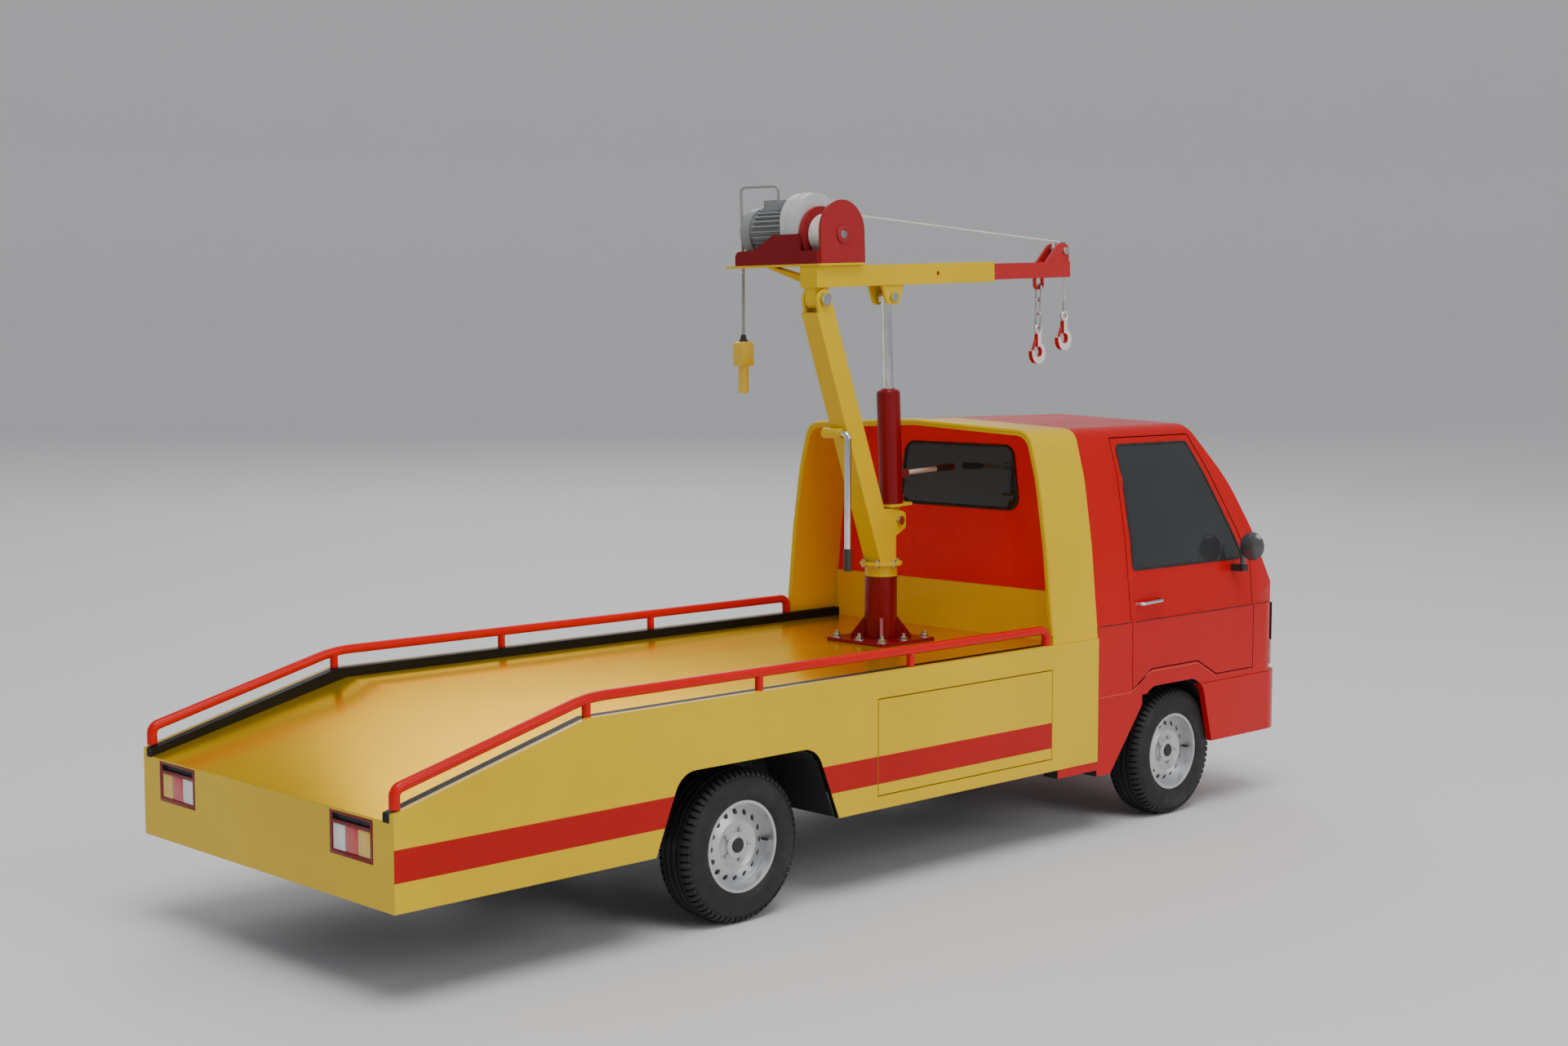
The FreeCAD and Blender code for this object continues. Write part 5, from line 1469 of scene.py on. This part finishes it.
    def fixed_seals(self) -> None:
        """The rubber round the windscreen and the rear window."""
        skin = Skin("cab_shell", "cab_glass")
        for name, outline, start, way in (("rear_window_seal", self.rear_window, 0.04, 1.0),
                                          ("windscreen_seal", self.screen, 0.25, -1.0)):
            corners = [Vector((0, y, z)) * MM for y, z in outline]
            path = [skin.drop(point + Vector((start, 0, 0)), Vector((way, 0, 0)), 0.0)
                    for point in dense(arc_points(corners, 3.6 * MM), 2.5 * MM)]
            self.seal(name, path, "truck", 0.6)

    def waist_crease_shade_lines(self) -> None:
        """Black rods laid in the crease along the cab's sides at waist height: painted shade in the crease.
        """
        for side in Side:
            label = side.label
            leaf = label + "_door_leaf"
            for name, node, body, first, last in (("rear_crease", "cab_shell", "truck", 75.3, 91.2),
                                                  ("door_crease", label + "_door", leaf, 93.2, 155.2),
                                                  ("front_crease", "cab_shell", "truck", 157.0, 166.0)):
                skin = Skin(node)
                path = []
                for step in range(25):
                    spot = Vector((first + (last - first) * step / 24, 90.0 * side.value, self.waist)) * MM
                    path.append(skin.drop(spot, Vector((0, -side.value, 0)), -0.05 * MM))
                # The black rods stand for the shade in the waist crease.
                on_truck(rod_along(f"{label}_{name}", path, 0.16 * MM, SEAL, False, 8), body)

    def step(self, side: Side) -> None:
        """The fine bead in a lighter red over the skirt's step, arched over the wheel; its lighter red is a
        painted highlight on the step's edge.

        Args:
            side: the truck's side.
        """
        skin = Skin("cab_shell")
        corners = [Vector((x, 0, z)) * MM for x, z in self.step_line[:-1]]
        path = [skin.drop(point + Vector((0, 0.09 * side.value, 0)), Vector((0, -side.value, 0)), 0.02 * MM)
                for point in dense(arc_points(corners, 1.2 * MM, False), 2 * MM, False)]
        # The bead's lighter red is a painted highlight along the step's edge.
        on_truck(rod_along(side.label + "_step_bead", path, 0.14 * MM, STEP_HIGHLIGHT_RED, False, 8))

    def nose_strip(self) -> None:
        """The bright moulding round the nose at waist height."""
        skin = Skin("cab_shell", "grille", "left_door", "right_door")
        middle = Vector((150.0, 0.0, self.waist + 0.4)) * MM
        path = []
        for step in range(61):
            turn = math.radians(-84 + 168 * step / 60)
            way = Vector((math.cos(turn), math.sin(turn), 0))
            path.append(skin.drop(middle + way * 0.09, -way, 0.05 * MM))
        path = [point for point in path if point.x > 167.0 * MM]
        on_truck(rod_along("nose_moulding", path, 0.42 * MM, CHROME, False, 10))

    def hoop_edge(self) -> None:
        """The rolled edge round the hoop's rear opening."""
        skin = Skin("hoop")
        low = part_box("hoop")[0]
        path = []
        for step in range(81):
            turn = math.radians(-8 + 196 * step / 80)
            way = Vector((0, math.cos(turn), math.sin(turn)))
            start = Vector((low.x + 0.6 * MM, 0, 70 * MM))
            path.append(skin.drop(start + way * 0.2, -way, -0.45 * MM))
        on_truck(rod_along("hoop_rolled_edge", path, 0.85 * MM, YELLOW, False, 12))


@dataclass
class Seats:
    """Two upholstered seats behind the tinted glass; sizes in millimetres."""

    middle: float = 24.0
    half: float = 14.6

    def build(self) -> None:
        """Make a cushion and a back for each side."""
        for side in Side:
            y = self.middle * side.value
            base = pillow(side.label + "_seat_cushion", Vector((92.4, y - self.half, 46.2)) * MM,
                          Vector((120.6, y + self.half, 57.5)) * MM, 3)
            back = pillow(side.label + "_seat_back", Vector((-3.6, -self.half, 0.5)) * MM,
                          Vector((3.6, self.half, 38.0)) * MM, 3)
            foot = Matrix.Translation(Vector((90.2, y, 57.8)) * MM)
            lean = foot @ Matrix.Rotation(math.radians(-9.5), 4, "Y")
            placed(back, lean)
            for piece, nodes in ((base, ["seats"]), (back, ["seats"])):
                finished(piece, "truck", nodes)


def pillow(name: str, low: Vector, high: Vector, channels: int) -> bpy.types.Object:
    """A crowned, sewn pad: its sides pull in between the corners and its faces swell.

    Args:
        name: the piece's name.
        low: the pad's lowest corner.
        high: its highest corner.
        channels: how many sewn channels cross it.

    Returns:
        The pad's mesh, subdivided once.
    """
    middle, half = (low + high) / 2, (high - low) / 2
    thin = min(range(3), key=lambda axis: half[axis])
    wide = [axis for axis in range(3) if axis != thin]
    form = bmesh.new()
    bmesh.ops.create_cube(form, size=2.0)
    bmesh.ops.subdivide_edges(form, edges=form.edges[:], cuts=19, use_grid_fill=True)
    for vertex in form.verts:
        spot = vertex.co.copy()
        across, along = spot[wide[0]], spot[wide[1]]
        crown = (1 - abs(across) ** 4) * (1 - abs(along) ** 4)
        seam = min(abs(along - (2 * (index + 0.5) / channels - 1)) for index in range(channels))
        dip = 0.09 * math.exp(-(seam / 0.035) ** 2) * crown
        spot[thin] *= 0.62 + 0.38 * crown - dip
        spot[wide[0]] *= 1 - 0.03 * (1 - along * along) - 0.05 * vertex.co[thin] ** 2
        spot[wide[1]] *= 1 - 0.03 * (1 - across * across) - 0.05 * vertex.co[thin] ** 2
        vertex.co = Vector([middle[axis] + spot[axis] * half[axis] for axis in range(3)])
    mesh = bpy.data.meshes.new(name)
    form.to_mesh(mesh)
    form.free()
    mesh.materials.append(SEAT.material())
    piece = new_object(name, mesh)
    fine = piece.modifiers.new("fine", "SUBSURF")
    fine.levels = fine.render_levels = 1
    piece = settled(piece)
    smooth(piece.data, 60.0)
    return piece


# ---------------------------------------------------------------- crane

@dataclass
class CraneFoot:
    """Base plate, pedestal and bolts; sizes in millimetres."""

    pitch: float = 9.4
    plate_top: float = 58.1

    def build(self) -> None:
        """Paint the foot and set washers under its bolts' nuts."""
        refine("crane_base_plate", MAROON, 0.15)
        refine("base_bolts", ZINC)
        refine("pedestal", MAROON)
        axis = joint_at("crane_slew")
        washer = [(0.62, 0.0), (1.75, 0.0), (1.75, 0.14), (1.6, 0.2), (0.62, 0.2)]
        ring = [(radius * MM, height * MM) for radius, height in washer]
        pieces = []
        for row in (-1, 0, 1):
            for column in (-1, 0, 1):
                if row or column:
                    spot = Vector((axis.x + row * self.pitch * MM, column * self.pitch * MM,
                                   self.plate_top * MM))
                    pieces.append(lathe("washer", ring, ZINC, 20, Matrix.Translation(spot)))
        on_truck(merged("base_washers", pieces))


@dataclass
class Column:
    """Leaning column, its pins and the slewing handle; sizes in millimetres."""

    flange_low: float = 80.3
    flange_high: float = 81.3
    grip_top: float = 86.6

    def build(self) -> None:
        """Paint the column and plate its hardware."""
        refine("crane_column", YELLOW, 0.0, (Region(ZINC, self.is_bolt),))
        refine("crane_pins", ZINC)
        refine("slew_handle", CHROME, 0.0, (Region(GRIP, self.is_grip),))

    def is_bolt(self, centre: Vector, normal: Vector) -> bool:
        """The flange's six bolts.

        Args:
            centre: the face's middle, in metres.
            normal: the face's outward normal, not used.

        Returns:
            Whether the face is bright plated.
        """
        axis = joint_at("crane_slew")
        reach = math.hypot(centre.x - axis.x, centre.y - axis.y) / MM
        level = centre.z / MM
        off_flange = level > self.flange_high + 0.02 or level < self.flange_low - 0.02
        return reach > 4.95 and 79.0 < level < 82.3 and off_flange

    def is_grip(self, centre: Vector, normal: Vector) -> bool:
        """The hand grip at the rod's lower end."""
        return centre.z < (self.grip_top + 0.02) * MM


@dataclass
class Jack:
    """Hand-pumped jack; sizes in millimetres, in the jack's own axes."""

    radius: float = 3.58
    ram_radius: float = 1.73
    top: float = 38.6
    lever_x: float = 5.1
    lever_z: float = 13.75
    lever_length: float = 23.6

    def build(self) -> None:
        """Paint the barrel, plate the ram and fit the gland and grip."""
        refine("jack_cylinder", MAROON, 0.0, (Region(YELLOW, self.is_base), Region(STEEL, self.is_hardware)))
        refine("jack_ram", CHROME)
        refine("pump_lever", LEVER_GREY)
        gland = [(self.ram_radius + 0.05, self.top), (self.radius - 0.1, self.top),
                 (self.radius - 0.1, self.top + 0.35),
                 (self.radius - 0.7, self.top + 0.95), (self.ram_radius + 0.45, self.top + 1.0),
                 (self.ram_radius + 0.35, self.top + 1.3), (self.ram_radius + 0.05, self.top + 1.3)]
        ring = [(radius * MM, height * MM) for radius, height in gland]
        on_truck(lathe("jack_gland", ring, MAROON, 48, JACK), "jack_barrel")
        self.grip()

    def local(self, centre: Vector) -> Vector:
        """A point in the jack's own axes, in millimetres."""
        return (JACK.inverted() @ centre) / MM

    def is_base(self, centre: Vector, normal: Vector) -> bool:
        """The base plate and foot lug."""
        return self.local(centre).z < 5.02

    def is_hardware(self, centre: Vector, normal: Vector) -> bool:
        """The release valve and the lever's ears."""
        spot = self.local(centre)
        return math.hypot(spot.x, spot.y) > self.radius + 0.05 and spot.z > 5.02

    def grip(self) -> None:
        """The lever's moulded grip with finger ribs and a red end."""
        rod = 0.75
        start, end = self.lever_x + 15.3, self.lever_x + self.lever_length
        profile = [(rod, start), (rod + 0.25, start)]
        ribs = 7
        step = (end - 1.4 - start) / ribs
        for index in range(ribs):
            base = start + step * index
            profile += [(rod + 0.28, base + 0.1), (rod + 0.34, base + step * 0.5),
                        (rod + 0.28, base + step - 0.1)]
        profile += [(rod, end - 1.4)]
        root = JACK @ Matrix.Translation((0, 0, self.lever_z * MM))
        turn = root @ Matrix.Rotation(math.radians(90), 4, "Y")
        sleeve = lathe("sleeve", [(radius * MM, height * MM) for radius, height in profile], GRIP, 24, turn)
        cap = [(0.0, end - 1.4), (rod + 0.3, end - 1.4), (rod + 0.3, end - 0.3), (rod, end), (0.0, end)]
        tip = lathe("tip", [(radius * MM, height * MM) for radius, height in cap], MAROON, 24, turn)
        on_truck(merged("lever_grip", [sleeve, tip]), "lever")


@dataclass
class Boom:
    """Outer and inner boom with their pins and the sheave."""

    def build(self) -> None:
        """Paint both booms and plate the sheave."""
        refine("boom_outer", YELLOW)
        refine("jack_pin", ZINC)
        refine("boom_inner", INNER_RED)
        refine("sheave_pin", ZINC)
        refine("sheave", STEEL)


@dataclass
class Ropes:
    """The winch rope: wound turns, the span to the sheave and the fall; sizes in millimetres."""

    radius: float = 0.35
    pitch: float = 1.6
    drum: tuple[float, float] = (6.7, 18.7)
    sheave: tuple[float, float] = (112.75, 12.6)
    drum_turn: float = 6.56
    sheave_turn: float = 2.85
    turns: int = 10

    def build(self) -> None:
        """Lay the rope from the drum to the hook."""
        self.span()
        self.fall()
        self.wound()

    def span(self) -> None:
        """The taut run from the drum over the sheave, whose ends sit on two booms; it is laid once in place.
        """
        run = Vector((self.sheave[0] - self.drum[0], 0, self.sheave[1] - self.drum[1]))
        lean = math.atan2(run.z, run.x) + math.asin((self.sheave_turn - self.drum_turn) / run.length)
        up = Vector((-math.sin(lean), 0, math.cos(lean)))
        start = Vector((self.drum[0], 0, self.drum[1])) + up * self.drum_turn
        hub = Vector((self.sheave[0], 0, self.sheave[1]))
        plumb = (BOOM.inverted().to_3x3() @ Vector((1, 0, 0))).normalized()
        begin = math.atan2(up.z, up.x)
        finish = math.atan2(plumb.z, plumb.x)
        points = [start]
        for step in range(13):
            turn = begin + (finish - begin) * step / 12
            points.append(hub + Vector((math.cos(turn), 0, math.sin(turn))) * self.sheave_turn)
        path = [BOOM @ (point * MM) for point in points]
        piece = rope_along("winch_rope_span", path, self.radius * MM, self.pitch * MM)
        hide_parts("rope_span")
        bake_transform(piece)
        LOG.info("%s: %d faces between boom and boom_tip", piece.name, len(piece.data.polygons))

    def fall(self) -> None:
        """The hanging run from the sheave to the hook, laid once at its present length; the real rope pays
        out as the hook goes down.
        """
        low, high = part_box("rope_fall")
        x = (low.x + high.x) / 2
        top, end = Vector((x, 0, high.z)), Vector((x, 0, low.z - 0.2 * MM))
        piece = rope_along("winch_rope_fall", [top, end], self.radius * MM, self.pitch * MM)
        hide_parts("rope_fall")
        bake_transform(piece)
        LOG.info("%s: %d faces between rope_line and rope_end", piece.name, len(piece.data.polygons))
        thimble = [Vector((x, 0, end.z + level * MM)) for level in (0.1, 3.2)]
        on_truck(rod_along("rope_ferrule", thimble, 0.55 * MM, ZINC, False, 14), "rope_end")

    def wound(self) -> None:
        """The turns on the drum: a core under one visible layer."""
        low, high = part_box("wound_rope")
        axis = joint_at("drum_spin")
        spread = high.y - low.y - 2 * self.radius * MM
        radius = (high.x - low.x) / 2 - self.radius * MM
        points = []
        for step in range(self.turns * 28 + 1):
            share = step / (self.turns * 28)
            turn = 2 * math.pi * self.turns * share
            points.append(Vector((axis.x + radius * math.cos(turn), low.y + self.radius * MM + spread * share,
                                  axis.z + radius * math.sin(turn))))
        coil = rod_along("coil", points, self.radius * MM, ROPE, False, 8)
        core = [(4.6 * MM, 0.1 * MM), (radius, 0.1 * MM), (radius, high.y - low.y - 0.1 * MM),
                (4.6 * MM, high.y - low.y - 0.1 * MM)]
        turn = Matrix.Translation((axis.x, high.y, axis.z)) @ Matrix.Rotation(math.radians(90), 4, "X")
        turns = merged("wound_rope_turns", [coil, lathe("core", core, ROPE, 48, turn)])
        finished(turns, "drum", ["wound_rope"])


@dataclass
class Winch:
    """Platform, tray, drum, gearbox, motor and pendant cable; sizes in boom axes, millimetres."""

    drum_x: float = 6.7
    drum_z: float = 18.7
    motor_z: float = 20.3

    def build(self) -> None:
        """Paint the winch and add its screws."""
        refine("winch_platform", YELLOW, 0.0)
        refine("winch_frame", MAROON, 0.0, (Region(DUSTY_RED, self.is_cheek),))
        refine("winch_drum", DUSTY_RED, 0.0, (Region(STEEL, self.is_shaft),))
        refine("winch_gearbox", GREY_CASE)
        refine("winch_motor", MOTOR_GREY)
        refine("pendant_cable", CABLE)
        self.screws()
        self.shaft_cap()

    def local(self, centre: Vector) -> Vector:
        """A point in the boom's own axes, in millimetres."""
        return (BOOM.inverted() @ centre) / MM

    def is_cheek(self, centre: Vector, normal: Vector) -> bool:
        """The rounded plate on the drum's near side."""
        return self.local(centre).y < -3.95

    def is_shaft(self, centre: Vector, normal: Vector) -> bool:
        """The drum's shaft ends."""
        spot = self.local(centre)
        return math.hypot(spot.x - self.drum_x, spot.z - self.drum_z) < 1.35

    def screws(self) -> None:
        """Hexagon screws round the gearbox cover and on the fan cover."""
        place = BOOM @ Matrix.Translation((self.drum_x * MM, 12.4 * MM, 22.0 * MM)) @ Matrix.Rotation(
            math.radians(-90), 4, "X")
        gear = ring_of("gear_screws", hex_nut("screw", 1.0 * MM, 0.5 * MM), 7, 8.3 * MM, ZINC, place)
        place = BOOM @ Matrix.Translation((self.drum_x * MM, 31.2 * MM, self.motor_z * MM)) @ Matrix.Rotation(
            math.radians(-90), 4, "X")
        fan = ring_of("fan_screws", hex_nut("screw", 0.7 * MM, 0.3 * MM), 4, 5.9 * MM, ZINC, place)
        slot = block("fan_slot", Vector((-1.5, -0.3, -0.05)) * MM, Vector((1.5, 0.3, 0.05)) * MM,
                     BLACK_PLASTIC, 0.03)
        vents = ring_of("fan_vents", hidden_template(slot), 12, 3.6 * MM, BLACK_PLASTIC, place)
        on_truck(merged("winch_screws", [gear, fan, vents]), "boom")

    def shaft_cap(self) -> None:
        """The bearing cap on the cheek."""
        profile = [(1.3, 0.0), (2.6, 0.0), (2.6, 0.35), (2.3, 0.5), (1.3, 0.5)]
        place = BOOM @ Matrix.Translation((self.drum_x * MM, -4.9 * MM, self.drum_z * MM)) @ Matrix.Rotation(
            math.radians(90), 4, "X")
        ring = [(radius * MM, height * MM) for radius, height in profile]
        on_truck(lathe("bearing_cap", ring, DUSTY_RED, 36, place), "boom")


@dataclass
class Hanging:
    """Chain, hooks, latches and the pendant control; sizes in millimetres."""

    pendant_x: float = 12.66
    pendant_y: float = 32.3
    pendant_top: float = 147.6

    def build(self) -> None:
        """Dress everything that hangs from the boom."""
        refine("chain_links", ZINC)
        for kind in ("chain", "rope"):
            eye = JOINTS["chain_hook_swing"]["pos_m"][2] if kind == "chain" else 0.1557
            refine(kind + "_hook", RED, 0.0, (Region(ZINC, self.above(eye - 1.6 * MM)),
                                              Region(HOOK_WHITE, self.is_face)))
            refine(kind + "_hook_latch", RED_PLASTIC)
        refine("pendant_drop_cable", CABLE)
        refine("pendant", PENDANT_YELLOW, 0.3)
        refine("pendant_rocker", BLACK_PLASTIC, 0.15)
        self.glands()

    def above(self, level: float) -> Callable[[Vector, Vector], bool]:
        """A test for faces over a level."""
        return lambda centre, normal: centre.z > level

    def is_face(self, centre: Vector, normal: Vector) -> bool:
        """A hook's two flat sides."""
        return abs(normal.y) > 0.8

    def glands(self) -> None:
        """The cable gland on the pendant."""
        profile = [(0.5, 0.0), (1.35, 0.0), (1.35, 0.5), (0.95, 0.7), (0.8, 1.9), (0.5, 2.1)]
        ring = [(radius * MM, height * MM) for radius, height in profile]
        place = Matrix.Translation(Vector((self.pendant_x, self.pendant_y, self.pendant_top)) * MM)
        on_truck(lathe("pendant_gland", ring, BLACK_PLASTIC, 24, place), "pendant_line")


# ---------------------------------------------------------------- studio

@dataclass
class Studio:
    """Floor, soft lights and camera; metres."""

    camera_at: tuple[float, float, float] = (-0.4415, -0.4515, 0.1490)
    yaw: float = 45.75
    pitch: float = -4.87
    lens: float = 50.15

    def build(self) -> None:
        """Set the stage round the truck."""
        self.floor()
        self.lights()
        self.camera()

    def floor(self) -> None:
        """A pale sheet that curves up behind the truck on every side."""
        form = bmesh.new()
        rings = []
        for radius, height in ((0.0005, 0.0), (0.5, 0.0), (1.6, 0.0), (2.2, 0.03), (2.7, 0.16), (3.0, 0.45),
                               (3.1, 1.0), (3.1, 2.6)):
            turns = [math.radians(angle) for angle in range(0, 360, 5)]
            rings.append([form.verts.new((radius * math.cos(turn), radius * math.sin(turn), height))
                          for turn in turns])
        for inner, outer in zip(rings, rings[1:]):
            for index in range(len(inner)):
                after = (index + 1) % len(inner)
                form.faces.new((inner[index], outer[index], outer[after], inner[after]))
        form.faces.new(rings[0])
        bmesh.ops.recalc_face_normals(form, faces=form.faces)
        mesh = bpy.data.meshes.new("studio_floor")
        form.to_mesh(mesh)
        form.free()
        mesh.materials.append(FLOOR.material())
        smooth(mesh, 60.0)
        new_object("studio_floor", mesh)

    def lights(self) -> None:
        """One large key, a side fill and an even sky."""
        for name, at, aim, size, power in (
                ("key", (-0.3, -0.5, 1.5), (0.02, 0.0, 0.05), 1.1, 16.0),
                ("side", (0.3, -1.6, 0.75), (0.05, 0.0, 0.08), 1.2, 8.0),
                ("back", (0.9, 1.2, 1.0), (0.0, 0.0, 0.08), 1.0, 5.0)):
            lamp = bpy.data.lights.new(name, "AREA")
            lamp.shape = "DISK"
            lamp.size = size
            lamp.energy = power
            made = bpy.data.objects.new(name, lamp)
            bpy.context.scene.collection.objects.link(made)
            made.location = at
            made.rotation_euler = (Vector(aim) - Vector(at)).to_track_quat("-Z", "Y").to_euler()
        world = bpy.data.worlds.new("sky")
        world.use_nodes = True
        world.node_tree.nodes["Background"].inputs["Color"].default_value = (0.93, 0.95, 1.0, 1.0)
        world.node_tree.nodes["Background"].inputs["Strength"].default_value = 0.42
        bpy.context.scene.world = world

    def camera(self) -> None:
        """The view from the right rear, at the truck's own height."""
        lens = bpy.data.cameras.new("view")
        lens.lens = self.lens
        lens.sensor_width = 36.0
        lens.clip_start = 0.01
        made = bpy.data.objects.new("view", lens)
        bpy.context.scene.collection.objects.link(made)
        made.location = self.camera_at
        made.rotation_euler = (math.radians(90 + self.pitch), 0.0, math.radians(self.yaw - 90))
        bpy.context.scene.camera = made


def main() -> None:
    """Build each sub-assembly in order, camera and ropes first."""
    logging.basicConfig(level=logging.INFO, format="%(name)s: %(message)s")
    for assembly in (Studio(), Ropes(), RunningGear(), FlatBed(), Cab(), Seats(), CraneFoot(), Column(),
                     Jack(), Boom(), Winch(), Hanging()):
        LOG.info("building %s", type(assembly).__name__)
        assembly.build()


if __name__ == "__main__":
    main()
